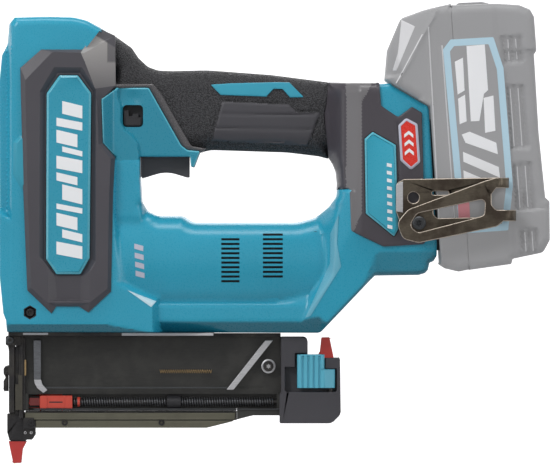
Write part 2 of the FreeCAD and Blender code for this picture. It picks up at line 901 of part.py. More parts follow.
def make_nose_latch():
    """The thumb latch: a lever on the door with a knob that is pulled forward."""
    body = new_body("nose_latch")
    lever = rounded(
        (-6.8, 35.2, 1.2), (-4.5, 35.2), (-4.5, 46.8, 0.8), (-6.8, 46.8, 0.8),
        (-6.8, 43.8), (-5.8, 42), (-6.8, 40.2),
    )
    pad(body, lever, -4, 4)
    pocket(body, circle(*LATCH_PIN_PLACE, LATCH_PIN_RADIUS + 0.05), -5, 5)
    return body


def make_nose_pivot_pin():
    return rod("nose_pivot_pin", "nose_pin_radius", -9.3, 9.3, "y", x="nose_pivot_x", z="nose_pivot_z")


def make_latch_pivot_pin():
    x, z = LATCH_PIN_PLACE
    return rod("latch_pivot_pin", LATCH_PIN_RADIUS, -6.2, 6.2, "y", x=x, z=z)


def nose_tip_body(label, place):
    """A push-on tip: a cup under the nose block, drawn down to the exit."""
    body = new_body(label)
    cup = rounded((-2.1, 0, 0.6), (1.9, 0, 0.6), (2.6, 6.8, 1.5), (4.6, 10.7), (-4.3, 10.7), (-3.8, 8, 1))
    pad(body, cup, -3.4, 3.4)
    pocket(body, circle(0, 0, SIZES["exit_radius"]), -1, 12, role="XY_Plane")
    body.Placement = place
    return body


def make_nose_tip():
    return nose_tip_body("nose_tip", Placement())


def make_spare_tip():
    turned = Rotation(Vector(0, 1, 0), 180)
    return nose_tip_body("spare_tip", Placement(Vector(150.8, 0, 61.6), turned))


# ---------------------------------------------------------------- magazine


RAIL_SCREWS = [(23, 19.8), (70.6, 19.8)]
RAIL_SCREW_RADIUS = 1.2


def make_magazine_base():
    """The fixed half of the pin channel, hanging from the drive's seat plate."""
    body = new_body("magazine_base")
    wall = rounded((3.2, 25.6), (107.2, 25.6), (107.2, 26.8), (129, 26.8), (129, 62.2), (3.2, 62.2))
    pad(body, wall, "pin_channel", "magazine_half", RIGHT)
    pad(body, rectangle(3.2, 60.4, 60, 62.4), "pin_channel", 7.5, RIGHT)
    pad(body, rectangle(58.2, 62, 96, 63.7), 3, 7.5, RIGHT)
    pocket(body, rectangle(8, 39, 11.5, 60, 1.5), 3.2, 5, RIGHT)
    pocket(body, rounded((102.2, 36.8, 1), (124, 36.8, 1), (124, 59.8, 1)), 3.2, 5, RIGHT)
    return body


def make_bottom_rail():
    """The long rail under the pin channel, cut back at its rear end."""
    body = new_body("bottom_rail")
    rail = rounded((9.2, 17.2, 1), (92.9, 17.2, 3), (107.1, 21.3), (107.1, 25.5), (9.2, 25.5))
    pad(body, rail, -6.5, 6.5)
    holes = [edge for x, z in RAIL_SCREWS for edge in circle(x, z, RAIL_SCREW_RADIUS)]
    pocket(body, holes, -7, 7)
    return body


def make_magazine_door():
    """The sliding side of the magazine, with brackets that hold the pusher's rod."""
    body = new_body("magazine_door")
    pad(body, rectangle(3.2, 33.8, 129, 62), "pin_channel", "magazine_half")
    pad(body, rectangle(3.4, 26.2, 5.5, 34), 1, 6.6)
    pad(body, rounded((107.6, 21.4), (115.4, 23.4), (129, 23.4), (129, 26.4), (107.6, 26.4)), -6.5, 6.5)
    pad(body, rectangle(127, 26, 129, 34), 1, 6.6)
    pocket(body, rectangle(8, 39, 11.5, 60, 1.5), 3.2, 5)
    pocket(body, rounded((102.2, 36.8, 1), (121.5, 36.8, 1), (121.5, 56.5, 1)), 3.2, 5)
    rod_bore = circle(SIZES["pusher_rod_y"], SIZES["pusher_rod_z"], SIZES["pusher_rod_radius"])
    pocket(body, rod_bore, 0, 130, role="YZ_Plane")
    return body


def make_magazine_end():
    """The block that closes the magazine's rear: a bay for the latch lever and a nest for the spare tip."""
    body = new_body("magazine_end")
    profile = rounded(
        (129.2, 35), (129.8, 19.6, 1), (154, 19.6, 4.5), (158.4, 24, 4.5), (158, 51.6, 1), (142.2, 51.6),
        (142.2, 61.9, 2.5), (129.2, 61.9),
    )
    pad(body, profile, -12, 12)
    bay = rounded(
        (131, 35, 1), (156.4, 35, 1), (156.4, 46.4), (150.8, 46.4),
        (150.8, 54), (136, 54), (136, 47.2), (131, 47.2),
    )
    pocket(body, bay, 6.5, 13)
    pocket(body, rectangle(144.4, 50.4, 162, 56), -3.9, 3.9)
    pocket(body, circle(*LATCH_SHAFT_PLACE, LATCH_SHAFT_RADIUS), 34, 50.2, role="XY_Plane")
    return body


def make_magazine_latch():
    """The ribbed thumb lever that frees the magazine; it swings about an upright pin."""
    body = new_body("magazine_latch")
    plan = rounded((137, -8.2, 1), (137, -14, 1.5), (150.4, -14, 1.5), (155.6, -11.4, 1), (155.6, -8.2, 1))
    pad(body, plan, 36.9, 46.1, role="XY_Plane")
    upper_plan = rounded((137, -8.2, 1), (137, -14, 1.5), (150.4, -14, 1.5), (150.4, -8.2, 1))
    pad(body, upper_plan, 46, 53.4, role="XY_Plane")
    grooves = []
    for index in range(4):
        middle = 139.8 + 2.7 * index
        grooves += rectangle(middle - 0.5, 36, middle + 0.5, 52.6)
    pocket(body, grooves, 13.2, 15)
    pocket(body, circle(*LATCH_SHAFT_PLACE, LATCH_SHAFT_RADIUS + 0.06), 34, 54, role="XY_Plane")
    return body


def make_latch_shaft():
    x, y = LATCH_SHAFT_PLACE
    return rod("latch_shaft", LATCH_SHAFT_RADIUS, 34, 50, "z", x=x, y=y)


def make_pusher():
    """The follower: a block on the rod in front of its spring, with a blade behind the pins."""
    body = new_body("pusher")
    pad(body, rectangle(11, 26.9, 27, 33.1, 1), 1, 6.6)
    pad(body, rectangle(5.9, 28.4, 11.5, 31.8, 1), 1.6, 6.2)
    pad(body, rectangle(11, 26.9, 22, 59.5, 1), -0.4, 0.4)
    pad(body, rectangle(11, 26.9, 22, 33.1), 0, 1.2)
    rod_bore = circle(SIZES["pusher_rod_y"], SIZES["pusher_rod_z"], SIZES["pusher_rod_radius"] + 0.05)
    pocket(body, rod_bore, 0, 40, role="YZ_Plane")
    return body


def make_pusher_rod():
    return rod("pusher_rod", "pusher_rod_radius", 3.6, 128.6, "x", y="pusher_rod_y", z="pusher_rod_z")


def make_pusher_spring():
    base = Vector(27.6, SIZES["pusher_rod_y"], SIZES["pusher_rod_z"])
    return coil("pusher_spring", 2.0, 0.4, 98.8, 33, base, "x")


def make_spring_divider():
    """The sleeve that keeps the long spring from buckling."""
    return cut(
        "spring_divider",
        rod("divider_outside", 3.3, 73.3, 80.1, "x", y="pusher_rod_y", z="pusher_rod_z"),
        rod("divider_bore", 2.8, 70, 90, "x", y="pusher_rod_y", z="pusher_rod_z"),
    )


def make_magazine_screws():
    """Screws through the bottom rail, both the same."""
    screws = []
    for index, (x, z) in enumerate(RAIL_SCREWS):
        shank = rod(f"rail_screw_{index}_shank", RAIL_SCREW_RADIUS, -6, 6.6, "y", x=x, z=z)
        head = rod(f"rail_screw_{index}_head", RAIL_SCREW_RADIUS + 1, 6.5, 7.6, "y", x=x, z=z)
        screws.append(fuse(f"rail_screw_{index}", shank, head))
    return group("magazine_screws", *screws)


# ---------------------------------------------------------------- belt hook


# each prong's bend: where it starts, and its lower and upper edge
HOOK_BENDS = [(233.4, 134.5, 139.6), (236.9, 118.4, 123.9)]
# the hook's rear end: the upper prong, the notch, and the lower prong
HOOK_END = [
    (233.4, 139.6), (233.4, 134.5), (231.2, 131.6, 2), (231.2, 126.4, 2), (233.4, 123.9, 2),
    (236.9, 123.9), (236.9, 118.4),
]


def make_belt_hook():
    """A strip bent back on itself: the leg screwed to the tool, two bends, and the outer arm."""
    body = new_body("belt_hook")
    leg = rounded((185, 123, 1), (185, 136.7, 2), (188.7, 138.9), *HOOK_END, (200, 111.6), (189, 112, 4))
    holes = circle(SIZES["hook_screw_x"], SIZES["hook_screw_z"], 2.1) + circle(193.5, 129.9, 2.7)
    holes += rectangle(202.6, 131.2, 210.6, 133, 0.8)
    holes += rounded(
        (203.2, 119.8, 3), (228.4, 120.4, 2), (228.4, 129.6, 2), (215, 128.4, 4), (203.2, 126.6, 3),
    )
    pad(body, leg + holes, "hook_inner", "hook_inner + hook_plate")
    arm = rounded(
        (185.1, 117.6, 5), (190.6, 124.1, 6), (227.4, 137.8, 6), *HOOK_END,
        (234, 115.9, 4), (215, 111.8), (195.8, 107.9, 5), (188.2, 109.8, 4),
    )
    teardrop = rounded(
        (191.4, 116.2, 4), (195.5, 112.8, 3), (227.6, 121.2, 2), (228.2, 129.3, 2), (195, 122.2, 4),
    )
    pad(body, arm + teardrop, "hook_outer", "hook_outer + hook_plate")
    middle = (SIZES["hook_inner"] + SIZES["hook_outer"] + SIZES["hook_plate"]) / 2
    outside = middle - SIZES["hook_inner"]
    inside = outside - SIZES["hook_plate"]
    for bend_x, low, high in HOOK_BENDS:
        outer_ends = [Vector(bend_x, -middle + outside, 0), Vector(bend_x, -middle - outside, 0)]
        inner_ends = [Vector(bend_x, -middle - inside, 0), Vector(bend_x, -middle + inside, 0)]
        bend = [
            Part.Arc(outer_ends[0], Vector(bend_x + outside, -middle, 0), outer_ends[1]),
            Part.LineSegment(outer_ends[1], inner_ends[0]),
            Part.Arc(inner_ends[0], Vector(bend_x + inside, -middle, 0), inner_ends[1]),
            Part.LineSegment(inner_ends[1], outer_ends[0]),
        ]
        pad(body, bend, low, high, role="XY_Plane")
    return body


def make_hook_screw():
    place = {"x": "hook_screw_x", "z": "hook_screw_z"}
    shank = rod("hook_screw_shank", "screw_radius - 0.05", -42, "0 - rear_half + wall + 0.5", "y", **place)
    seat = "0 - hook_inner - hook_plate"
    head = rod("hook_screw_head", 3.4, seat + " - 2.2", seat, "y", **place)
    return fuse("hook_screw", shank, head)


# ---------------------------------------------------------------- battery


def make_battery_base():
    """The battery's front shell, with the T-slot that runs down its foot and the deck over the tool."""
    body = new_body("battery_base")
    side = rounded(
        (0.4, -12.5, 2), (8.9, -15.2, 3), (13.9, -15.2), (13.9, 112.3),
        (-5, 112.3, 10), (-17.8, 96, 10), (-20.3, 82.3, 1), (0.4, 66.6, 2),
    )
    pad(body, side, "0 - battery_half", "battery_half")
    tee = rounded((-1, -21), (3.3, -21), (3.3, -26), (8.8, -26), (8.8, 26), (3.3, 26), (3.3, 21), (-1, 21))
    pocket(body, tee, -16, 62, role="XY_Plane")
    pocket(body, rectangle(11, -12, 15, 108), "2.5 - battery_half", "battery_half - 2.5")
    return lean_battery(body)


def make_battery_case():
    """The battery's rear shell, open towards the front shell."""
    body = new_body("battery_case")
    side = rounded(
        (14, -15.2), (34.8, -13.3, 1), (35.4, -10.8), (50.6, -8.8, 4), (54.4, -2.8, 4),
        (54.6, 13.5, 1), (53.1, 15.5), (52.8, 49.3), (53, 87.9), (54.2, 89.8),
        (54.1, 106.2, 4), (47.4, 112.5, 4), (14, 112.5),
    )
    hollow = rounded(
        (13, -12.5), (33.6, -10.8), (49, -6.3), (51.2, -2), (50.2, 50), (51, 104), (46.5, 109.7), (13, 109.7),
    )
    pad(body, side, "0 - battery_half", "battery_half")
    pocket(body, hollow, "2.5 - battery_half", "battery_half - 2.5")
    pocket(body, rectangle(15, -12.6, 36.4, 12.6), 108, 114, role="XY_Plane")
    return lean_battery(body)


def make_battery_cells():
    """Ten cells lying across the battery, in two columns."""
    cells = []
    for column, across in enumerate((22.4, 40.9)):
        for index in range(5):
            x, z = from_battery(across, 1.5 + 20.2 * index)
            cells.append(rod(f"cell_{column}_{index}", 9.0, -32.5, 32.5, "y", x=x, z=z))
    return group("battery_cells", *cells)


def make_battery_button():
    body = new_body("battery_button")
    button = rounded(
        (15.4, 104.5), (36, 104.5), (36, 113.6, 3), (30, 115.6, 6), (18, 115.9, 3), (15.4, 113.5, 1),
    )
    pad(body, button, -12.2, 12.2)
    return lean_battery(body)


# ---------------------------------------------------------------- build and write

nodes = []
for side_name, side_sign in SIDES.items():
    nodes.append(make_housing(side_name, side_sign))
    nodes.append(make_side_panel(side_name, side_sign))
    nodes.append(make_name_plate(side_name, side_sign))
    nodes.append(make_grip(side_name, side_sign))
    nodes.append(make_rear_cover(side_name, side_sign))
for planet in range(3):
    nodes.append(make_planet_gear(planet))
for make in (
    make_housing_screws,
    make_led_lamp,
    make_trigger,
    make_trigger_spring,
    make_lock_button,
    make_main_switch,
    make_controller,
    make_terminal_block,
    make_motor_stator,
    make_motor_rotor,
    make_cooling_fan,
    make_motor_bearings,
    make_motor_end_plates,
    make_gear_case,
    make_planet_carrier,
    make_lifter_gear,
    make_mechanism_frame,
    make_guide_rod,
    make_main_spring,
    make_plunger,
    make_driver_blade,
    make_bumper,
    make_driver_guide,
    make_nose_door,
    make_nose_latch,
    make_nose_pivot_pin,
    make_latch_pivot_pin,
    make_nose_tip,
    make_spare_tip,
    make_magazine_base,
    make_bottom_rail,
    make_magazine_door,
    make_magazine_end,
    make_magazine_latch,
    make_latch_shaft,
    make_pusher,
    make_pusher_rod,
    make_pusher_spring,
    make_spring_divider,
    make_magazine_screws,
    make_belt_hook,
    make_hook_screw,
    make_battery_base,
    make_battery_case,
    make_battery_cells,
    make_battery_button,
):
    nodes.append(make())

doc.recompute()
for item in doc.Objects:
    if "Invalid" in item.State or "Error" in item.State:
        raise RuntimeError(f"{item.Label}: {item.State}")
for item in nodes:
    if item.Shape.isNull() or not item.Shape.isValid():
        raise RuntimeError(f"{item.Label} has no valid shape")

os.makedirs("parts", exist_ok=True)
for item in nodes:
    item.Shape.exportStep(f"parts/{item.Label}.step")
    solids = len(item.Shape.Solids)
    print(f"{item.Label:20s} {solids:3d} solids {item.Shape.Volume:12.1f} mm3")
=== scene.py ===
"""Looks of the cordless pin nailer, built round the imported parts.

Outlines and heights are in millimetres. An outline is a closed line of (x, z) corners in the side
view, and a height is the distance of a surface from the middle plane.
"""

import json
import math
from collections import Counter

import bmesh
import bpy
import numpy as np
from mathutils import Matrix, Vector
from mathutils.geometry import delaunay_2d_cdt


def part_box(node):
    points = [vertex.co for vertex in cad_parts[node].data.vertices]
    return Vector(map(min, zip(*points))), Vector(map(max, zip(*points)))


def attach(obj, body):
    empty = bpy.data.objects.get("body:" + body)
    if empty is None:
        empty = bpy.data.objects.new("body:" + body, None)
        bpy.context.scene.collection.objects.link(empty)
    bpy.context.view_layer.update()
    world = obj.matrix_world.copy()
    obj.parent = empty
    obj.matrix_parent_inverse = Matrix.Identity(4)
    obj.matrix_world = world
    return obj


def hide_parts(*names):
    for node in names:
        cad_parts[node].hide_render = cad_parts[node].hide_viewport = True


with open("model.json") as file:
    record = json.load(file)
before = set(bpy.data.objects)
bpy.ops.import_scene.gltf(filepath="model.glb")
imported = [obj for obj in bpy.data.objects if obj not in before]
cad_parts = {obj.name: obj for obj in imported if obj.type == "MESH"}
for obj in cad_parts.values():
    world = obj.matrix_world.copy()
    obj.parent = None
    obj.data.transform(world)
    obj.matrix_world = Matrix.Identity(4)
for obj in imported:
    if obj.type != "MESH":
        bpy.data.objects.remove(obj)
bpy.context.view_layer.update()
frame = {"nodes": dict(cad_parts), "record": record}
MM = 0.001
LEFT, RIGHT = -1, 1
SIDES = ((LEFT, "left"), (RIGHT, "right"))


def outer(node):
    """Furthest reach of a node from the middle plane, in millimetres."""
    lo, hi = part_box(node)
    return max(-lo.y, hi.y) / MM


PANEL_OUT = outer("side_panel_left")
PLATE_OUT = outer("name_plate_left")
CASING_OUT = PANEL_OUT - 3.2
REAR_OUT = outer("housing_left")
GRIP_OUT = outer("grip_left")
COVER_OUT = REAR_OUT + 2.0
FRAME_OUT = GRIP_OUT + 3.0
BATTERY_OUT = outer("battery_case")
COLUMN_OUT = FRAME_OUT + 2.9


# ---------------------------------------------------------------- outlines


def turned_left(loop):
    area = sum(a[0] * b[1] - b[0] * a[1] for a, b in zip(loop, loop[1:] + loop[:1]))
    return loop if area > 0 else loop[::-1]


def rounded(corners, radius=0.0):
    """The corners as a closed line with an arc at each corner; a third value is that corner's own radius."""
    line = []
    count = len(corners)
    for i, corner in enumerate(corners):
        here = Vector(corner[:2])
        before = Vector(corners[i - 1][:2])
        after = Vector(corners[(i + 1) % count][:2])
        r = corner[2] if len(corner) > 2 else radius
        one, two = (before - here), (after - here)
        angle = one.angle(two)
        if r <= 0 or angle > math.pi - 0.02:
            line.append(tuple(here))
            continue
        reach = min(r / math.tan(angle / 2), 0.48 * one.length, 0.48 * two.length)
        r = reach * math.tan(angle / 2)
        start, end = here + one.normalized() * reach, here + two.normalized() * reach
        centre = here + (one.normalized() + two.normalized()).normalized() * (r / math.sin(angle / 2))
        first, last = start - centre, end - centre
        sweep = first.angle_signed(last)
        steps = max(2, int(abs(sweep) / math.radians(15)))
        for k in range(steps + 1):
            turn = -sweep * k / steps
            line.append((centre.x + first.x * math.cos(turn) - first.y * math.sin(turn),
                         centre.y + first.x * math.sin(turn) + first.y * math.cos(turn)))
    return line


def inset(loop, distance):
    """The closed line moved inwards by distance, or outwards if it is negative."""
    loop = [Vector(p[:2]) for p in loop]
    area = sum(a.cross(b) for a, b in zip(loop, loop[1:] + loop[:1]))
    turn = 1 if area > 0 else -1
    moved = []
    for i, here in enumerate(loop):
        into = (here - loop[i - 1]).normalized()
        out = (loop[(i + 1) % len(loop)] - here).normalized()
        normal = Vector((-into.y - out.y, into.x + out.x)) * turn
        if normal.length < 1e-6:
            normal = Vector((-into.y, into.x)) * turn
        normal.normalize()
        side = Vector((-into.y, into.x)) * turn
        moved.append(tuple(here + normal * (distance / max(0.35, normal.dot(side)))))
    return moved


def resampled(loop, step):
    points = []
    for (x0, z0), (x1, z1) in zip(loop, loop[1:] + loop[:1]):
        count = max(1, round(math.hypot(x1 - x0, z1 - z0) / step))
        points += [(x0 + (x1 - x0) * i / count, z0 + (z1 - z0) * i / count) for i in range(count)]
    return points


def inside(points, loop):
    """True for each point within the closed line."""
    points = np.asarray(points, float)
    x, z = points[:, 0], points[:, 1]
    found = np.zeros(len(points), bool)
    for (x0, z0), (x1, z1) in zip(loop, loop[1:] + loop[:1]):
        if z0 != z1:
            found ^= ((z0 > z) != (z1 > z)) & (x < (x1 - x0) * (z - z0) / (z1 - z0) + x0)
    return found


def distance_to(points, line, closed=True):
    """Distance from each point to the line."""
    points = np.asarray(points, float)
    best = np.full(len(points), 1e9)
    ends = line[1:] + line[:1] if closed else line[1:]
    for a, b in zip(line, ends):
        a, b = np.array(a[:2], float), np.array(b[:2], float)
        run = b - a
        length = max(1e-12, run @ run)
        t = np.clip(((points - a) @ run) / length, 0, 1)
        best = np.minimum(best, np.hypot(*(points - a - t[:, None] * run).T))
    return best


def soft_min(a, b, width):
    h = np.clip(0.5 + 0.5 * (b - a) / width, 0, 1)
    return b * (1 - h) + a * h - width * h * (1 - h)


def soft_max(a, b, width):
    return -soft_min(-a, -b, width)


def ramp(value, low, high):
    t = np.clip((value - low) / (high - low), 0, 1)
    return t * t * (3 - 2 * t)


# ---------------------------------------------------------------- meshes


def placed(name, data):
    thing = bpy.data.objects.new(name, data)
    bpy.context.scene.collection.objects.link(thing)
    return thing


def finished(name, vertices, faces, materials, sharp=30, slots=None):
    """A mesh object in metres from corners in millimetres."""
    mesh = bpy.data.meshes.new(name)
    mesh.from_pydata([Vector(v) * MM for v in vertices], [], faces)
    for material in materials if isinstance(materials, (list, tuple)) else [materials]:
        mesh.materials.append(material)
    if slots is not None:
        mesh.polygons.foreach_set("material_index", slots)
    work = bmesh.new()
    work.from_mesh(mesh)
    bmesh.ops.remove_doubles(work, verts=work.verts, dist=1e-7)
    bmesh.ops.recalc_face_normals(work, faces=work.faces)
    work.to_mesh(mesh)
    work.free()
    mesh.shade_smooth()
    mesh.set_sharp_from_angle(angle=math.radians(sharp))
    return placed(name, mesh)


def ride(thing, body, slot_name, *stands_for):
    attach(thing, body)
    if stands_for:
        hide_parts(*stands_for)
    return thing


def face_outwards(thing, side):
    """Turns the faces so that most look away from the middle plane on their side."""
    mesh = thing.data
    total = sum(p.normal.y * p.area for p in mesh.polygons)
    if total * side < 0:
        mesh.flip_normals()
    return thing


ROUNDOVER_SHARES = (0.034, 0.134, 0.293, 0.5, 0.741, 1.0)
ROW_RATIO = 0.866
CLOSEST = 0.12
CELL = 0.42


class Spread:
    """Points kept a gap apart, found by the square cell they lie in."""

    def __init__(self, points):
        self.cells = {}
        for p in points:
            self.cells.setdefault(self.cell(p), []).append(p)

    def cell(self, p):
        return int(p[0] // CELL), int(p[1] // CELL)

    def free(self, p, gap):
        """True, and the point is taken up, if no other point is within the gap."""
        i, j = self.cell(p)
        reach = int(gap // CELL) + 1
        for a in range(i - reach, i + reach + 1):
            for b in range(j - reach, j + reach + 1):
                for q in self.cells.get((a, b), ()):
                    if (q[0] - p[0]) ** 2 + (q[1] - p[1]) ** 2 < gap * gap:
                        return False
        self.cells.setdefault((i, j), []).append(p)
        return True


def staggered_grid(low, high, spacing):
    """Points in rows, every other row moved by half the spacing."""
    rows = []
    z = low[1]
    while z < high[1]:
        xs = np.arange(low[0] + (spacing / 2 if len(rows) % 2 else 0), high[0], spacing)
        rows.append(np.stack([xs, np.full(len(xs), z)], 1))
        z += spacing * ROW_RATIO
    return np.concatenate(rows)


def rounding_drop(flat, edge, radius):
    """How far each point sinks below the shell's top, so that the outline is rounded over."""
    drop = np.zeros(len(flat))
    for start in range(0, len(flat), 2000):
        part = flat[start:start + 2000]
        away = np.hypot(part[:, None, 0] - edge[None, :, 0], part[:, None, 1] - edge[None, :, 1])
        short = np.clip(radius[None] - away, 0, radius[None])
        drop[start:start + 2000] = (radius[None] - np.sqrt(radius[None] ** 2 - short**2)).max(1)
    return drop


def shell(name, outline, height, materials, side=LEFT, spacing=1.2, fillet=1.0, holes=(), floor=0.0,
          zone=None, hole_depth=2.0, sharp=40, creases=()):
    """A moulded shell on one side: height(x, z) from the middle plane, rounded over along its outline."""
    outline = turned_left([tuple(p) for p in outline])
    edge = resampled(outline, min(1.0, spacing))
    edge_xy = np.array(edge)
    radius = np.array([fillet(x, z) if callable(fillet) else fillet for x, z in edge])
    run = np.roll(edge_xy, -1, 0) - np.roll(edge_xy, 1, 0)
    inward = np.stack([-run[:, 1], run[:, 0]], 1) / np.maximum(1e-9, np.hypot(*run.T))[:, None]
    hole_loops = [resampled(turned_left([tuple(p) for p in h]), 1.6) for h in holes]

    points, edges = [], []
    closed_lines = [edge] + hole_loops
    for i, line in enumerate(closed_lines + list(creases)):
        start = len(points)
        points += [tuple(p) for p in line]
        edges += [(start + k, start + k + 1) for k in range(len(line) - 1)]
        if i < len(closed_lines):
            edges.append((len(points) - 1, start))

    offsets = [radius * share for share in ROUNDOVER_SHARES]
    rings = np.concatenate([(edge_xy + inward * o[:, None])[o > CLOSEST] for o in offsets])
    grid = staggered_grid(edge_xy.min(0), edge_xy.max(0), spacing)
    grid = grid[distance_to(grid, outline) > spacing * 0.5]
    spread = Spread(points)
    for extra, gap in ((rings, CLOSEST), (grid, spacing * 0.5)):
        for p in extra[inside(extra, outline)]:
            if spread.free(tuple(p), gap):
                points.append(tuple(p))

    coords, _, triangles, *_ = delaunay_2d_cdt([Vector(p) for p in points], edges, [], 0, 1e-6)
    flat = np.array([tuple(c) for c in coords])
    centres = flat[np.array(triangles)].mean(1)
    keep = inside(centres, outline)
    for loop in hole_loops:
        keep &= ~inside(centres, loop)
    faces = [list(t) for t, ok in zip(triangles, keep) if ok]
    centres = centres[keep]
    level = height(flat[:, 0], flat[:, 1])
    level = np.maximum(level - rounding_drop(flat, edge_xy, radius), floor + 0.2)

    vertices = [(x, side * y, z) for (x, z), y in zip(flat, level)]
    slots = [0] * len(faces)
    if zone is not None:
        slots = [int(v) for v in zone(centres[:, 0], centres[:, 1])]
    count = Counter(tuple(sorted(pair)) for face in faces for pair in zip(face, face[1:] + face[:1]))
    rim = {pair for pair, uses in count.items() if uses == 1}
    below = {}
    from_outline = distance_to(flat, outline)
    for v in {v for pair in rim for v in pair}:
        below[v] = len(vertices)
        x, z = flat[v]
        depth = floor if from_outline[v] < 0.05 else max(floor, level[v] - hole_depth)
        vertices.append((x, side * depth, z))
    for a, b in rim:
        faces.append([a, b, below[b], below[a]])
        slots.append(0)
    thing = finished(name, vertices, faces, materials, sharp, slots)
    return face_outwards(thing, side)


def add_sheet(vertices, faces, side, ring, hole=()):
    """Adds the sheet between two closed lines of (x, z, y) corners, or the one within a single line."""
    corners = list(ring) + list(hole)
    n, m = len(ring), len(hole)
    edges = [(i, (i + 1) % n) for i in range(n)] + [(n + i, n + (i + 1) % m) for i in range(m)]
    flat = [Vector(p[:2]) for p in corners]
    coords, _, found, origin, *_ = delaunay_2d_cdt(flat, edges, [], 0, 1e-6)
    centres = [np.mean([tuple(coords[i]) for i in f], 0) for f in found]
    keep = inside(centres, [p[:2] for p in ring]) & ~inside(centres, [p[:2] for p in hole])
    start = len(vertices)
    for place, source in zip(coords, origin):
        y = corners[source[0] if source else 0][2]
        vertices.append((place.x, side * y, place.y))
    faces += [[start + i for i in f] for f, ok in zip(found, keep) if ok]


def terrace(name, rings, material, side=LEFT, bevel=0.25, zone=None):
    """A stepped plate from closed lines of (x, z, y) corners, from the outside in; the last is filled in."""
    vertices, faces = [], []
    for ring, following in zip(rings, rings[1:]):
        n = len(ring)
        if n == len(following) and all(math.dist(a[:2], b[:2]) < 1e-6 for a, b in zip(ring, following)):
            start = len(vertices)
            vertices += [(x, side * y, z) for x, z, y in list(ring) + list(following)]
            for i in range(n):
                j = (i + 1) % n
                faces.append([start + i, start + j, start + n + j, start + n + i])
        else:
            add_sheet(vertices, faces, side, ring, following)
    add_sheet(vertices, faces, side, rings[-1])
    thing = finished(name, vertices, faces, material, 25)
    work = bmesh.new()
    work.from_mesh(thing.data)
    bmesh.ops.remove_doubles(work, verts=work.verts, dist=2e-6)
    bmesh.ops.recalc_face_normals(work, faces=work.faces)
    work.to_mesh(thing.data)
    work.free()
    face_outwards(thing, side)
    if zone:
        for face in thing.data.polygons:
            face.material_index = int(inside([(face.center.x / MM, face.center.z / MM)], zone)[0])
    soften(thing, bevel)
    return thing


def soften(thing, width, segments=3, angle=22):
    """Rounds the sharp edges so that they catch the light."""
    if width <= 0:
        return thing
    bevel = thing.modifiers.new("edges", "BEVEL")
    bevel.width = width * MM
    bevel.segments = segments
    bevel.limit_method = "ANGLE"
    bevel.angle_limit = math.radians(angle)
    bevel.harden_normals = True
    bevel.use_clamp_overlap = False
    return thing


def soften_packed(thing, width, angle):
    """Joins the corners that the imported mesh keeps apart, and then rounds its edges."""
    thing.modifiers.new("joined", "WELD").merge_threshold = 0.002 * MM
    return soften(thing, width, 2, angle)


def at(loop, y):
    """The line's corners at one height."""
    return [(p[0], p[1], y) for p in loop]


def slab(name, outline, low, high, material, side=LEFT, bevel=0.25, chamfer=0.0):
    """A flat plate between two heights with a chamfer round its top."""
    rings = [at(outline, low), at(outline, high - chamfer)]
    if chamfer > 0:
        rings.append(at(inset(outline, chamfer * 1.2), high))
    return terrace(name, rings, material, side, bevel)


def tube(name, path, radius, material, resolution=6):
    """A round wire along a path of (x, y, z) points."""
    curve = bpy.data.curves.new(name, "CURVE")
    curve.dimensions = "3D"
    curve.bevel_depth = radius * MM
    curve.bevel_resolution = resolution
    curve.use_fill_caps = True
    line = curve.splines.new("POLY")
    line.points.add(len(path) - 1)
    for point, place in zip(line.points, path):
        point.co = (*[c * MM for c in place], 1)
    curve.materials.append(material)
    return placed(name, curve)


def stepped(name, rings, material, side, bevel, body, slot_name):
    """A terrace in one colour that rides on a body."""
    ride(terrace(name, rings, MATERIAL[material], side, bevel), body, slot_name)


# ---------------------------------------------------------------- materials


def linear(red, green, blue):
    """A screen colour from 0 to 255 as scene light."""
    def one(value):
        value /= 255
        return value / 12.92 if value <= 0.04045 else ((value + 0.055) / 1.055) ** 2.4
    return (one(red), one(green), one(blue), 1.0)


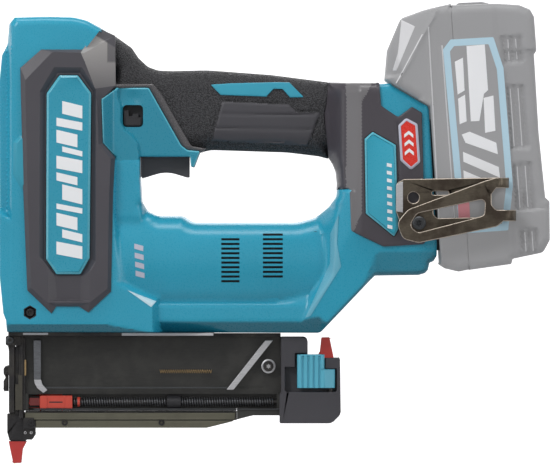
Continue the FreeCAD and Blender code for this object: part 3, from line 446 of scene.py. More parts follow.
class Nodes:
    """A short way to lay out shader nodes."""

    def __init__(self, name):
        self.material = bpy.data.materials.new(name)
        self.material.use_nodes = True
        self.tree = self.material.node_tree
        self.shader = self.tree.nodes["Principled BSDF"]
        self.place = self.add("ShaderNodeTexCoord").outputs["Object"]

    def add(self, kind, **values):
        node = self.tree.nodes.new(kind)
        for key, value in values.items():
            setattr(node, key, value)
        return node

    def link(self, start, end):
        self.tree.links.new(start, end)

    def stretched(self, x, y, z):
        node = self.add("ShaderNodeMapping")
        node.inputs["Scale"].default_value = (x, y, z)
        self.link(self.place, node.inputs["Vector"])
        return node.outputs["Vector"]

    def noise(self, scale, detail=3.0, rough=0.5, vector=None):
        node = self.add("ShaderNodeTexNoise")
        node.inputs["Scale"].default_value = scale
        node.inputs["Detail"].default_value = detail
        node.inputs["Roughness"].default_value = rough
        self.link(vector or self.place, node.inputs["Vector"])
        return node.outputs["Fac"]

    def cells(self, scale, vector=None, feature="F1"):
        node = self.add("ShaderNodeTexVoronoi", feature=feature)
        node.inputs["Scale"].default_value = scale
        self.link(vector or self.place, node.inputs["Vector"])
        return node.outputs["Distance"]

    def between(self, value, low, high, start, end):
        node = self.add("ShaderNodeMapRange")
        node.inputs["From Min"].default_value = low
        node.inputs["From Max"].default_value = high
        node.inputs["To Min"].default_value = start
        node.inputs["To Max"].default_value = end
        self.link(value, node.inputs["Value"])
        return node.outputs["Result"]

    def mixed(self, factor, one, two):
        node = self.add("ShaderNodeMix", data_type="RGBA")
        self.link(factor, node.inputs["Factor"])
        for socket, value in ((node.inputs[6], one), (node.inputs[7], two)):
            if isinstance(value, tuple):
                socket.default_value = value
            else:
                self.link(value, socket)
        return node.outputs[2]

    def bump(self, value, strength, distance, normal=None):
        node = self.add("ShaderNodeBump")
        node.inputs["Strength"].default_value = strength
        node.inputs["Distance"].default_value = distance * MM
        self.link(value, node.inputs["Height"])
        if normal is not None:
            self.link(normal, node.inputs["Normal"])
        return node.outputs["Normal"]

    def axis(self, letter):
        node = self.add("ShaderNodeSeparateXYZ")
        self.link(self.place, node.inputs["Vector"])
        return node.outputs[letter]

    def combined(self, operation, one, two):
        node = self.add("ShaderNodeMath", operation=operation)
        self.link(one, node.inputs[0])
        self.link(two, node.inputs[1])
        return node.outputs[0]

    def colour(self, value):
        if isinstance(value, tuple):
            self.shader.inputs["Base Color"].default_value = value
        else:
            self.link(value, self.shader.inputs["Base Color"])

    def set(self, **values):
        for key, value in values.items():
            self.shader.inputs[key.replace("_", " ")].default_value = value


def shade(colour, factor):
    return tuple(min(1.0, c * factor) for c in colour[:3]) + (1.0,)


def moulded(name, colour, rough=0.38, grain=0.35, spread=0.07, scale=1500, specular=0.5, under=1.0,
            glow=0.0):
    """Moulded plastic: fine spark grain, faint flow clouds, an uneven sheen, and painted shade on faces that
    look downwards.
    """
    n = Nodes(name)
    clouds = n.between(n.noise(22, 3), 0.3, 0.7, 0, 1)
    base = n.mixed(clouds, shade(colour, 1 - spread), shade(colour, 1 + spread))
    # Painted shade: faces that look downwards get the colour darkened by the under factor.
    if under < 1:
        facing = n.add("ShaderNodeSeparateXYZ")
        n.link(n.add("ShaderNodeNewGeometry").outputs["Normal"], facing.inputs["Vector"])
        base = n.mixed(n.between(facing.outputs["Z"], -0.62, -0.34, 1, 0), base, shade(colour, under))
    n.colour(base)
    spark = n.noise(scale, 2, 0.6)
    fine = n.between(spark, 0.3, 0.7, rough - 0.05, rough + 0.06)
    n.link(fine, n.shader.inputs["Roughness"])
    soft = n.bump(n.noise(55, 2), 0.05, 0.4)
    n.link(n.bump(spark, grain, 0.05, soft), n.shader.inputs["Normal"])
    n.shader.inputs["Specular IOR Level"].default_value = specular
    # A glow above nought is painted light: the part shines though it is no lamp.
    n.set(Emission_Color=(1, 1, 1, 1), Emission_Strength=glow)
    return n.material


def collar_painted_reflection(name, dark, light):
    """The side panel's sloping collar with a painted reflection: light below its dark rim, and fading darker
    again towards its foot.
    """
    n = Nodes(name)
    # Mask of the painted reflection, by height and by place on the collar.
    foot = n.between(n.axis("Z"), 0.182, 0.206, 0.25, 1)
    across = n.add("ShaderNodeVectorMath", operation="DOT_PRODUCT")
    across.inputs[1].default_value = (0.519, 0, 0.855)
    n.link(n.place, across.inputs[0])
    rim = n.between(across.outputs["Value"], 0.1984, 0.1992, 1, 0)
    back = n.between(n.axis("X"), 0.0441, 0.0447, 1, 0.25)
    low = n.between(n.axis("Z"), 0.1955, 0.197, 1, 0)
    foot = n.combined("MULTIPLY", foot, rim)
    foot = n.combined("MULTIPLY", foot, n.combined("MAXIMUM", back, low))
    n.colour(n.mixed(foot, dark, light))
    spark = n.noise(1500, 2, 0.6)
    n.link(n.between(spark, 0.3, 0.7, 0.3, 0.42), n.shader.inputs["Roughness"])
    n.link(n.bump(spark, 0.35, 0.05), n.shader.inputs["Normal"])
    return n.material


def pebbled(name, colour, rough=0.62):
    """Soft rubber with a pebbled grain, its pebble tops lighter as a painted highlight and the gaps between
    them darker as painted shade.
    """
    n = Nodes(name)
    pebble = n.cells(1500)
    tips = n.between(pebble, 0.15, 0.75, 1, 0)
    clouds = n.between(n.noise(40, 2), 0.3, 0.7, 0, 1)
    dull = n.mixed(clouds, shade(colour, 1.2), shade(colour, 1.75))
    # Painted highlight on the pebble tops and painted shade in the gaps between them.
    n.colour(n.mixed(tips, shade(colour, 0.45), dull))
    n.link(n.between(tips, 0, 1, rough + 0.2, rough - 0.14), n.shader.inputs["Roughness"])
    wavy = n.bump(n.noise(300, 2), 0.12, 0.2)
    n.link(n.bump(tips, 1.0, 0.4, wavy), n.shader.inputs["Normal"])
    n.shader.inputs["Specular IOR Level"].default_value = 0.55
    return n.material


def brushed(name, colour, rough=0.32, along=(1, 1, 12), streaks=0.25, metal=1.0, spots=0.0, tint=None):
    """Rolled or brushed metal with fine lines, and blotches of oxide if asked for."""
    n = Nodes(name)
    lines = n.noise(420, 3, 0.6, n.stretched(*along))
    streak = n.between(lines, 0.3, 0.7, 0, 1)
    base = n.mixed(streak, shade(colour, 1 - streaks), shade(colour, 1 + streaks))
    if spots > 0:
        blotch = n.between(n.noise(75, 5, 0.6), 0.45, 0.62, 0, spots)
        base = n.mixed(blotch, base, linear(*tint))
    n.colour(base)
    n.shader.inputs["Metallic"].default_value = metal
    n.link(n.between(lines, 0.25, 0.75, rough - 0.07, rough + 0.1), n.shader.inputs["Roughness"])
    dents = n.bump(n.noise(60, 2), 0.04, 0.5)
    n.link(n.bump(lines, 0.12, 0.05, dents), n.shader.inputs["Normal"])
    return n.material


TEAL = linear(43, 157, 186)
DARK = linear(72, 70, 76)
# screen colour, roughness, grain and spread of each plastic, and grain size if it is not the usual
PLASTICS = {
    "teal_plate": ((44, 150, 176), 0.3, 0.2, 0.04),
    "teal_guard": ((38, 138, 163), 0.3, 0.3, 0.05),
    # Painted highlights laid on the casing's facets by the foot and down the rear leg.
    "teal_painted_highlight": ((196, 222, 232), 0.3, 0.2, 0.05),
    "teal_soft_painted_highlight": ((104, 176, 198), 0.3, 0.3, 0.1),
    "teal_inlay": ((52, 164, 190), 0.3, 0.2, 0.04),
    # Painted light: the spare tip's red is brightened to offset the shadow it sits in.
    "spare_red_painted_light": ((222, 72, 64), 0.34, 0.3, 0.06),
    "lever": ((90, 180, 204), 0.34, 0.3, 0.05),
    "trigger": ((74, 74, 78), 0.34, 0.4, 0.06),
    # Painted highlight on the bevels of the name plate, the rear inlay and the guard; also the colour of the
    # latch's four dots.
    "teal_highlight_and_dots": ((86, 176, 196), 0.26, 0.15, 0.04),
    "teal_light": ((52, 155, 180), 0.34, 0.25, 0.05),
    "rear": ((70, 66, 72), 0.36, 0.5, 0.06),
    # Painted sheen on the rear cover's bevelled band.
    "rear_painted_sheen": ((112, 110, 112), 0.34, 0.5, 0.06),
    "guard_band": ((84, 82, 84), 0.26, 0.3, 0.05),
    "rubber_smooth": ((66, 65, 70), 0.5, 0.35, 0.06),
    "black": ((38, 38, 41), 0.42, 0.5, 0.08),
    "end_block": ((64, 63, 68), 0.46, 0.6, 0.07, 1100),
    "red": ((194, 58, 54), 0.36, 0.3, 0.08),
    "pusher_red": ((206, 76, 60), 0.4, 0.3, 0.06),
    "pusher_tail": ((112, 40, 38), 0.45, 0.3, 0.1),
    "red_badge": ((222, 48, 34), 0.28, 0.1, 0.03),
    "white": ((238, 240, 242), 0.45, 0.1, 0.02),
    "silver_print": ((190, 190, 205), 0.4, 0.1, 0.03),
    # Painted highlights on the battery's shoulder facet, its raised lines and the folds of its flutes.
    "battery_painted_highlight": ((212, 212, 214), 0.42, 0.3, 0.03),
    "battery_white": ((240, 241, 243), 0.5, 0.1, 0.02),
    "battery_blue": ((184, 215, 230), 0.5, 0.1, 0.02),
    "battery_red": ((226, 150, 158), 0.5, 0.1, 0.02),
    "lens": ((60, 64, 70), 0.12, 0.05, 0.1),
    "board": ((38, 70, 48), 0.5, 0.4, 0.2),
    "cells": ((52, 110, 160), 0.3, 0.1, 0.05),
}
# screen colour, roughness, stretch of the lines, streaks, metallic, share and colour of the blotches
METALS = {
    "blackened": ((52, 51, 52), 0.42, (1, 1, 6), 0.2, 0.55, 0.7, (78, 75, 70)),
    "magazine": ((54, 54, 52), 0.36, (0.5, 1, 6), 0.12, 0.35, 0.5, (70, 69, 66)),
    "olive": ((104, 102, 88), 0.46, (0.06, 1, 6), 0.1, 0.45, 0.35, (82, 81, 70)),
    "hook": ((100, 92, 80), 0.36, (1.5, 1, 6), 0.14, 0.85, 0.8, (64, 55, 48)),
    "olive_dark": ((74, 71, 62), 0.5, (1, 1, 4), 0.15, 0.3, 0.5, (58, 54, 46)),
    "worn_steel": ((120, 122, 126), 0.34, (1, 1, 4), 0.2, 0.8, 0.4, (84, 86, 90)),
    "worn_dark": ((78, 80, 82), 0.4, (0.3, 1, 6), 0.2, 0.6),
    # Painted highlight on the hook's rounded edges.
    "hook_edge_highlight": ((186, 174, 160), 0.3, (1, 1, 6), 0.2, 0.9),
    "satin": ((196, 196, 198), 0.4, (0.6, 1, 8), 0.12, 0.6),
    "brass": ((168, 142, 100), 0.34, (1, 1, 6), 0.2, 0.7),
    "bright": ((205, 204, 205), 0.24, (1, 1, 10), 0.12, 1.0),
    "spring": ((112, 109, 104), 0.32, (1, 1, 1), 0.15, 0.9),
    "gear": ((140, 138, 134), 0.35, (1, 1, 1), 0.15, 1.0),
    "iron": ((96, 94, 92), 0.45, (20, 1, 1), 0.3, 0.9),
    "aluminium": ((168, 170, 172), 0.5, (1, 1, 1), 0.12, 0.9),
}
MATERIAL = {
    # The casing plastic has painted shade on its faces that look downwards.
    "teal": moulded("teal_plastic", TEAL, 0.29, 0.3, 0.05, under=0.47),
    "panel": moulded("panel_plastic", DARK, 0.42, 0.45, 0.06),
    # The side panel's collar carries a painted reflection.
    "panel_shine": collar_painted_reflection("panel_collar_painted_reflection", DARK, linear(160, 157, 155)),
    "rubber": pebbled("rubber_pebbled", linear(58, 58, 61)),
    # Painted light: the battery plastic glows faintly so that its shadows look paler.
    "battery": moulded("battery_plastic_painted_glow", linear(138, 138, 140), 0.5, 0.35, 0.03, glow=0.08),
}
for name, (colour, *values) in PLASTICS.items():
    MATERIAL[name] = moulded(name, linear(*colour), *values)
for name, (colour, *values) in METALS.items():
    MATERIAL[name] = brushed(name, linear(*colour), *values)
BY_SLOT = {
    "casing_blue": "teal", "panel_grey": "panel", "grip_rubber": "rubber", "black_plastic": "black",
    "circuit_board": "board", "lamp_lens": "lens", "blackened_steel": "blackened", "bright_steel": "bright",
    "spring_steel": "spring", "gear_steel": "gear", "motor_iron": "iron", "cast_aluminium": "aluminium",
    "olive_steel": "olive", "red_plastic": "red", "battery_grey": "battery", "cell_jacket": "cells",
}


# ---------------------------------------------------------------- casing

TOWER_AND_MOTOR = [
    (-4.5, 64.4, 0.5), (-4.9, 70.1), (-6.2, 73.5), (-8.0, 91.6), (-8.3, 186.3), (-7.0, 199.4, 1),
    (-4.4, 204.3, 2), (-3.5, 214.5, 1), (-0.7, 217.9, 1), (14, 218.3, 20), (28.2, 218.0, 20),
    (34.7, 216.3, 8), (40.4, 213.2, 4), (46.6, 209.6), (47.4, 207), (47.4, 163), (60.3, 163),
    (60.3, 139.2), (61, 127.9, 2), (63.8, 123.5, 3), (68.8, 121.1, 3), (81.3, 121.1, 4), (85, 118.5, 2),
    (87.5, 117.8, 3), (137.4, 117.8, 12), (146.3, 120.3, 10), (152.5, 125.3, 6), (156.3, 130.3, 4),
    (156.6, 133.8), (165, 134.3), (165, 184.9), (182.4, 185.6, 1.5), (184.4, 184.0, 0.5),
    (200.6, 174.5, 0.5), (201.2, 172.8), (203.1, 138.3), (205.0, 108.3), (205.0, 101.6, 2),
    (203.4, 99, 1), (201.5, 98.2), (200.7, 94.6, 1), (199.2, 93.1, 1), (196.2, 92.2, 2),
    (174.9, 91.9, 1), (172.6, 89.7, 2), (148.2, 63.9, 3),
]
# from x, to x and lowest z of each row of vents
VENTS = [(100.0, 108.9, 89.2), (120.3, 130.0, 91.5)]
VENT_COUNT = 10
VENT_PITCH = 2.27
FRONT_SCREW = (6.8, 74)

UNDER_PANEL = [
    (13.0, 201.2), (2.9, 192.6), (4.2, 133.8), (6.2, 85.3), (17.4, 74.6), (19.4, 77.7), (31.0, 77.7),
    (35.2, 74.9), (45.6, 84.8), (46.3, 130.8), (46.3, 207.4), (40.6, 211.2), (32.9, 201.2),
]


def casing_height(x, z):
    """Half width of the casing: a front tower, a round motor housing on a slab, and a wide rear block."""
    tower = soft_min(np.full_like(x, CASING_OUT), CASING_OUT - 1.2 + (x + 2.9) * 2.9, 0.8)
    chamfer = CASING_OUT - (68.3 - 0.195 * np.clip(x - 44, 0, 22) - z) * 1.0
    tower = soft_min(tower, chamfer, 0.3)
    high = ramp(z, 92, 126)
    tower = soft_min(tower, CASING_OUT - (x - 50 + 2.5 * high) * (0.95 + 2.8 * high), 4.0 - 3.4 * high)
    column = COLUMN_OUT - 9 * (1 - ramp(z, 98, 122)) - 12 * ramp(x, 60.5, 66)
    tower = soft_max(tower, column, 0.8)
    tower = tower - (6 + 4 * ramp(z, 156, 160)) * ramp(x, 40.6, 43.6) * ramp(z, 148.2, 150.4)

    foot = soft_min(CASING_OUT - (x - 66.8) * 2.4, np.full_like(x, CASING_OUT), 0.6)
    foot = soft_min(foot, CASING_OUT - ((x - 51) * 0.507 + (z - 87) * 0.862) * 1.5, 0.6)
    foot = soft_min(foot, chamfer, 0.3)

    bulge = CASING_OUT - 2.2 - 5.0 * ((z - 100) / 20) ** 2
    bulge = bulge - 2.5 * ramp(x, 118, 150)
    lower = CASING_OUT - 5.6
    slab_part = soft_min(np.full_like(x, lower), lower - (69.6 - z) * 1.05, 0.5)
    slab_part = soft_min(slab_part, lower - (z - 77.6) * (1.5 - 1.1 * ramp(x, 120, 145)), 1.0)
    motor = soft_max(bulge, slab_part, 1.0)

    leg_low = 23.6 + ((x - 140.7) * 0.916 - (z - 70.8) * 0.402) * 1.15
    leg_high = 23.6 + (x - 151.0) * 1.3
    block = soft_min(np.full_like(x, REAR_OUT), REAR_OUT - (163.8 - x) * 0.4, 0.6)
    block = soft_min(block, REAR_OUT - 0.19 * ((173 - x) * 0.664 + (107.5 - z) * 0.747), 0.6)
    under = REAR_OUT - (104.4 - z) * 0.55 + np.maximum(0, 176 - x) * 0.9
    block = soft_min(block, under, 0.5)
    block = soft_min(block, soft_max(leg_low, leg_high, 1.0), 0.8)
    block = soft_min(block, lower - (69.6 - z) * 1.05 + np.maximum(0, x - 148), 0.6)

    whole = soft_max(tower, foot, 0.4)
    whole = soft_max(whole, motor, 1.6)
    return soft_max(whole, block, 0.7)


def casing_creases():
    """Lines along the tower's front edge and down both sides of the step beside the window."""
    lines = [[(x, 76.0 + 2 * i) for i in range(62)] for x in (-2.8, -2.2)]
    top, foot = [], []
    for i in range(19):
        z = 112.0 + 2 * i
        high = float(ramp(z, 92, 126))
        column = COLUMN_OUT - 9 * (1 - float(ramp(z, 98, 122)))
        x = 50 - 2.5 * high
        top.append((x, z))
        foot.append((x + (CASING_OUT - column) / (0.95 + 2.8 * high), z))
    return lines + [top, foot]


def casing_fillet(x, z):
    if 117 < z < 152 and 59.5 < x < 157:
        if x < 62:
            return 5.5 - 4.5 * float(ramp(z, 121, 131))
        return 8.5 if x > 70 and z < 126 else 5.5
    if z > 205 and x < 49:
        return 4.0
    if x < -2:
        return 0.7
    if z < 66:
        return 0.8
    if x > 199 and z > 104:
        return 1.4
    if z > 173 and x > 160:
        return 3.0
    return 2.2


def circle(x, z, radius, count=28, start=0.0):
    turns = [start + 2 * math.pi * i / count for i in range(count)]
    return [(x + radius * math.cos(turn), z + radius * math.sin(turn)) for turn in turns]


def hexagon(x, z, radius):
    return circle(x, z, radius, 6, math.radians(30))


def box_loop(x0, z0, x1, z1):
    return [(x0, z0), (x1, z0), (x1, z1), (x0, z1)]


def make_casing(side, label):
    slots = []
    for x0, x1, low in VENTS:
        for i in range(VENT_COUNT):
            middle = low + VENT_PITCH * i
            slots.append(box_loop(x0, middle - 0.55, x1, middle + 0.55))
    holes = slots + [hexagon(*FRONT_SCREW, 3.5), UNDER_PANEL]
    thing = shell(f"casing_{label}", rounded(TOWER_AND_MOTOR), casing_height, MATERIAL["teal"], side,
                  spacing=1.25, fillet=casing_fillet, holes=holes, hole_depth=2.6, sharp=34,
                  creases=casing_creases())
    ride(thing, "frame", "casing_blue", f"housing_{label}")
    for k, (x0, x1, low) in enumerate(VENTS):
        around = box_loop(x0 - 1.0, low - 1.6, x1 + 1.0, low + (VENT_COUNT - 1) * VENT_PITCH + 1.6)
        level = float(casing_height(np.array([(x0 + x1) / 2]), np.array([100.0]))[0])
        back = slab(f"vent_backing_{label}_{k}", around, level - 6.5, level - 4.6, MATERIAL["black"], side,
                    0)
        ride(back, "frame", "black_plastic")


# Outlines of the painted highlights on the casing's facets.
FOOT_HIGHLIGHT = [(54.2, 84.9), (68.4, 79.4), (65.8, 76.6)]
LEG_HIGHLIGHT = [(140.9, 71.3), (153.0, 98.0), (153.2, 112.5), (157.2, 121.5), (156.4, 107.5), (158.4, 96.4),
             (143.5, 72.2)]


def make_casing_facets(side, label):
    """Painted highlights as paler facets by the foot and down the rear leg, and four plain marks on the
    motor housing.
    """
    def raised(x, z):
        return casing_height(x, z) + 0.3
    for name, outline, material in (("foot", FOOT_HIGHLIGHT, "teal_painted_highlight"), ("leg", LEG_HIGHLIGHT, "teal_soft_painted_highlight")):
        facet = shell(f"{name}_facet_{label}", outline, raised, MATERIAL[material], side, spacing=0.9,
                      fillet=0.1,
                      floor=10, sharp=40)
        ride(facet, "frame", "casing_blue")
    for i in range(4):
        x, z = 58.2 - 0.2 * i, 90.6 + 4.4 * i
        bar = [(x, z + 1.2), (x + 4.4, z), (x + 4.4, z + 2.6), (x, z + 3.8)]
        fitted(f"motor_mark_{label}_{i}", bar, casing_height, 0.12, MATERIAL["silver_print"], side, "frame")


def make_front_pad(side, label):
    """The small raised pad that peeps out from under the side panel's front edge."""
    outline = [(1.6, 160.4), (-1.6, 157), (-1.8, 141), (2.4, 133.6), (7, 133.6), (7, 160.4)]
    top = [(2.4, 158.6), (0.6, 156.6), (0.5, 141.8), (3.2, 136.4), (7, 136.4), (7, 158.6)]
    rings = [at(outline, CASING_OUT - 3), at(outline, CASING_OUT - 0.2), at(top, CASING_OUT + 1.2)]
    stepped(f"front_pad_{label}", rings, "teal_light", side, 0.25, "frame", "casing_blue")


def make_hex_socket(side, label):
    """The deep hex pocket of the front screw, with the screw's head at its bottom."""
    deep = CASING_OUT - 2.0
    rim = hexagon(*FRONT_SCREW, 3.6)
    rings = [at(rim, CASING_OUT - 2.6), at(rim, CASING_OUT - 0.05), at(inset(rim, 0.5), CASING_OUT - 0.05),
             at(inset(rim, 0.8), deep)]
    stepped(f"hex_pocket_{label}", rings, "black", side, 0.12, "frame", "black_plastic")
    screw_head(f"front_screw_{label}", FRONT_SCREW, 2.3, deep + 1.0, side, "frame")


PANEL_EDGE = [
    (12.3, 202.1, 29.0), (2.1, 193.1, 28.9), (3.5, 133.8, 28.9), (5.5, 84.8, 28.9), (17.3, 73.5, 28.9),
    (19.6, 76.9, 28.9), (30.8, 76.9, 28.9), (35.3, 74.0, 28.9), (46.3, 84.2, 28.8), (47.3, 130.8, 28.6),
    (48.3, 149.5, 27.8), (42.2, 156.4, 28.8), (41.4, 177.4, 28.6), (48.5, 184.5, 22.4),
    (48.2, 209.0, 20.8), (40.4, 212.6, 24.6), (32.5, 202.1, 28.9),
]
PANEL_FLAT = [
    (17.9, 201.0), (4.5, 187.2), (5.7, 133.8), (7.4, 86.0), (15.4, 78.7), (20.2, 78.5), (30.4, 78.5),
    (36.0, 78.7), (44.6, 85.6), (45.4, 130.8), (46.2, 148.8), (40.2, 155.6), (39.4, 177.8), (38.6, 183),
    (33.6, 196), (33.0, 200.2), (31.6, 200.6),
]
PANEL_DIP = [
    (18.6, 193.4), (32.0, 193.4), (39.0, 182.6), (38.6, 98.6), (35.8, 93.6), (35.8, 79.6), (15.6, 79.6),
    (15.6, 96.5), (11.3, 101.6), (11.6, 181.6),
]
PANEL_CHANNEL = [
    (20.3, 190.7), (31.1, 190.7), (37.7, 181.3), (36.9, 100.0), (31.7, 91.6), (31.2, 80.2),
    (19.8, 80.2), (19.4, 91.8), (13.8, 99.6), (14.1, 181.2),
]
CHANNEL_DEPTH = 2.3
COLLAR = [(31.9, 201.2), (33.2, 195.6), (38.4, 182.6), (48.7, 184.5), (48.5, 209.2), (40.4, 213)]
PLATE = [
    (21.2, 189.5, 1), (30.2, 189.5, 1), (36.7, 180.8, 1.5), (35.9, 100.5, 1.5), (31.4, 92.6, 1),
    (19.8, 92.6, 1), (14.7, 100, 1.5), (15, 180.8, 1.5),
]


def make_side_panel(side, label):
    top = PANEL_OUT - 0.1
    base = [(x, z, min(y - 6, CASING_OUT - 6)) for x, z, y in PANEL_EDGE]
    pocket = inset(rounded(PLATE), -0.35)
    rings = [base, PANEL_EDGE, at(PANEL_FLAT, top), at(PANEL_DIP, top),
             at(PANEL_CHANNEL, top - CHANNEL_DEPTH),
             at(pocket, top - CHANNEL_DEPTH), at(pocket, top - CHANNEL_DEPTH - 0.5)]
    panel = terrace(f"side_panel_shell_{label}", rings, [MATERIAL["panel"], MATERIAL["panel_shine"]], side,
                    0.2,
                    zone=COLLAR)
    ride(panel, "frame", "panel_grey", f"side_panel_{label}")
    edge = rounded(PLATE)
    rings = [at(edge, top - CHANNEL_DEPTH - 0.7), at(edge, PLATE_OUT - 1.0),
             at(inset(edge, 1.1), PLATE_OUT - 0.1)]
    # The name plate's bevel band carries a painted highlight.
    name_plate = terrace(f"name_plate_shell_{label}", rings,
                         [MATERIAL["teal_highlight_and_dots"], MATERIAL["teal_plate"]],
                         side, 0.22, zone=inset(edge, 0.8))
    ride(name_plate, "frame", "casing_blue", f"name_plate_{label}")
    make_plate_marks(side, label)


def make_plate_marks(side, label):
    """White slanted bars on the plate, standing in for its lettering."""
    low = 100.0
    lengths = (6.2, 4.0, 6.2, 2.6, 7.4, 4.0, 6.2, 2.6, 6.2, 4.0, 6.2)
    for i, length in enumerate(lengths):
        x0, x1 = ((19.8, 32.4), (22.6, 32.4), (19.8, 30.0))[i % 3]
        bar = [(x0, low + 2.4), (x1, low), (x1, low + length), (x0, low + length + 2.4)]
        rings = [at(bar, PLATE_OUT - 0.3), at(bar, PLATE_OUT)]
        stepped(f"plate_mark_{label}_{i}", rings, "white", side, 0.05, "frame", "casing_blue")
        low += length + 1.9


TRIGGER_FRAME = [
    (41.6, 178, 0.6), (49, 183.6, 1.5), (64.6, 183.6, 1.5), (80.4, 155.6, 1.5), (83.4, 153.2, 1.5),
    (89.6, 152.6, 0.6), (86.6, 144.8, 0.5), (85.2, 145.2, 0.3), (84.7, 149.9, 0.3), (60.3, 149.9),
    (60.3, 148), (48.9, 148), (48.5, 149.8), (42.2, 156.6, 0.6),
]
FRAME_STEP = [(49.6, 178.4), (51.2, 173.4), (51.0, 167), (52.6, 163.2), (56.8, 160.0), (59.2, 156.2),
              (59.9, 150.4)]


def trigger_frame_height(x, z):
    """The guard plate: a slant down from the tower, a column by the window, and a lower plate behind."""
    slant = CASING_OUT + 0.6 - (x - 42) * 1.02
    column = COLUMN_OUT - (x - 49) * 0.02
    right = np.interp(z, [p[1] for p in FRAME_STEP][::-1], [p[0] for p in FRAME_STEP][::-1])
    plate = FRAME_OUT + 0.2
    low = column - (column - plate) * ramp(x, right - 0.4, right + 1.0)
    dish = 0.8 * np.exp(-((x - 57) ** 2 + (z - 178.5) ** 2) / 12)
    return soft_max(slant, low - dish, 0.5)


def guard_edge_highlight(x, z):
    """The guard's border, whose bevel carries a painted highlight in a lighter blue, save where the casing
    carries on below it.
    """
    near = distance_to(np.stack([x, z], 1), rounded(TRIGGER_FRAME)) < 0.6
    return (near & ((z > 150.5) | (x > 84))).astype(int)


def trigger_frame_fillet(x, z):
    return 0.0 if z < 149.6 and x < 61 else 0.9


def make_trigger_frame(side, label):
    window = rounded(box_loop(51.9, 164.4, 61.8, 175.2), 2.0)
    # The guard's bevel carries a painted highlight.
    thing = shell(f"trigger_guard_{label}", rounded(TRIGGER_FRAME), trigger_frame_height,
                  [MATERIAL["teal_guard"], MATERIAL["teal_highlight_and_dots"]], side, spacing=0.8,
                  fillet=trigger_frame_fillet,
                  holes=[window], floor=8.0, zone=guard_edge_highlight, hole_depth=5, sharp=30)
    ride(thing, "frame", "casing_blue")
    # Painted shade: a black sheet behind the lock button's window stands in for the shade in its recess.
    shade_sheet = slab(f"lock_window_shade_sheet_{label}", inset(window, -0.4), 11, 13.5, MATERIAL["black"], side, 0)
    ride(shade_sheet, "frame", "black_plastic")


def make_trigger_heel():
    """The trigger's front edge, close to the casing."""
    heel = slab("trigger_heel", box_loop(60.55, 140.2, 61.4, 154), 2.5, 7.4, MATERIAL["trigger"], LEFT, 0.1)
    ride(heel, "trigger", "black_plastic")


def make_lock_button():
    """The lock-off button, a stepped block right across the handle."""
    lo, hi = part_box("lock_button")
    profile = [(52.4, 164.7), (61.3, 164.7), (61.3, 169.2), (59.6, 169.2), (59.6, 171.0), (56.6, 171.0),
               (56.6, 169.8), (54.8, 169.8), (54.8, 172.6), (52.4, 172.6)]
    profile = rounded([(*p, 1.8) if p[1] == 164.7 else p for p in profile])
    block = slab("lock_button_block", profile, -hi.y / MM, -lo.y / MM - 1.0, MATERIAL["black"], LEFT, 0.2)
    ride(block, "lock_button", "black_plastic", "lock_button")
    for side, label, reach in ((LEFT, "left", -lo.y / MM), (RIGHT, "right", hi.y / MM)):
        low = [(53.2, 165.4), (60.6, 165.4), (60.6, 168.4), (53.2, 168.4)]
        step = slab(f"lock_button_step_{label}", low, reach - 1.2, reach - 0.1, MATERIAL["black"], side,
                    0.2)
        ride(step, "lock_button", "black_plastic")


# ---------------------------------------------------------------- handle

GRIP = [
    (47.6, 184), (48.0, 191.8), (44.3, 197.4), (43.7, 210.7), (48.6, 208.6), (56.1, 203.3, 3),
    (59.2, 198.6, 4), (63.9, 194.1, 5), (69, 192.3, 6), (75.7, 192, 8), (93.1, 192.4, 60),
    (124.2, 190.1, 60), (149.2, 186.9, 5), (152.6, 186.5, 1), (151.6, 176), (150.4, 170.6, 2),
    (152.6, 149.0, 0.6), (147.7, 150.3, 6), (132.2, 152.2, 50), (94.7, 153.4, 14), (90.8, 152.4, 3),
    (89.4, 152.0), (83.4, 153.0), (80.2, 155.4), (64.4, 183.2), (48, 183.2),
]
PALM = [(100.5, 176.9), (133, 175.3), (136.5, 171.7), (148.2, 171.4), (141.9, 155.4), (95.5, 157.9)]
GROOVES = [(171.0, 97.2), (163.9, 96.4), (157.4, 95.4)]


def grip_height(x, z):
    middle = np.interp(x, [50, 70, 95, 150], [180, 172.5, 172.6, 168])
    crown = GRIP_OUT - 0.0042 * (z - middle) ** 2
    shoulder = 4.4 * ramp(-x, -60, -48)
    points = np.stack([x, z], 1)
    depth = np.where(inside(points, PALM), distance_to(points, PALM), -distance_to(points, PALM))
    level = crown - 0.75 + shoulder
    level = level + 0.45 * ramp(depth, -0.5, 0.4) - 0.5 * np.exp(-((depth + 0.5) / 0.45) ** 2)
    for groove, start in GROOVES:
        along = (depth > 0.6) & (x > start)
        level = level - np.where(along, 0.55 * np.exp(-((z - groove + (x - 100) * 0.012) / 0.42) ** 2), 0)
    return level + np.maximum(0, 48.8 - x) * 0.95


def grip_fillet(x, z):
    if z > 186 or (z < 154 and x > 86):
        return 9.5
    return 1.0


def grip_zone(x, z):
    points = np.stack([x, z], 1)
    return inside(points, PALM).astype(int)


def make_grip(side, label):
    thing = shell(f"grip_shell_{label}", rounded(GRIP), grip_height,
                  [MATERIAL["rubber"], MATERIAL["rubber_smooth"]],
                  side, spacing=0.95, fillet=grip_fillet, zone=grip_zone, sharp=50)
    ride(thing, "frame", "grip_rubber", f"grip_{label}")
    rim_out = [(47.6, 185.4), (66.4, 185.6, 2.5), (70.2, 181.6, 2), (85.4, 155.2, 2), (92.6, 154.0),
               (90.4, 152.2)]
    rim_in = [(89.6, 152.4), (83.4, 153.0, 1), (80.3, 155.4, 1.5), (64.5, 183.4, 1.5), (48.8, 183.4),
              (46.0, 181.6)]
    rim = shell(f"guard_rim_{label}", rounded(rim_out + rim_in), rim_height, MATERIAL["guard_band"], side,
                spacing=0.8, fillet=0.8, floor=8.0, sharp=40)
    ride(rim, "frame", "grip_rubber")
    make_handle_inlay(side, label)


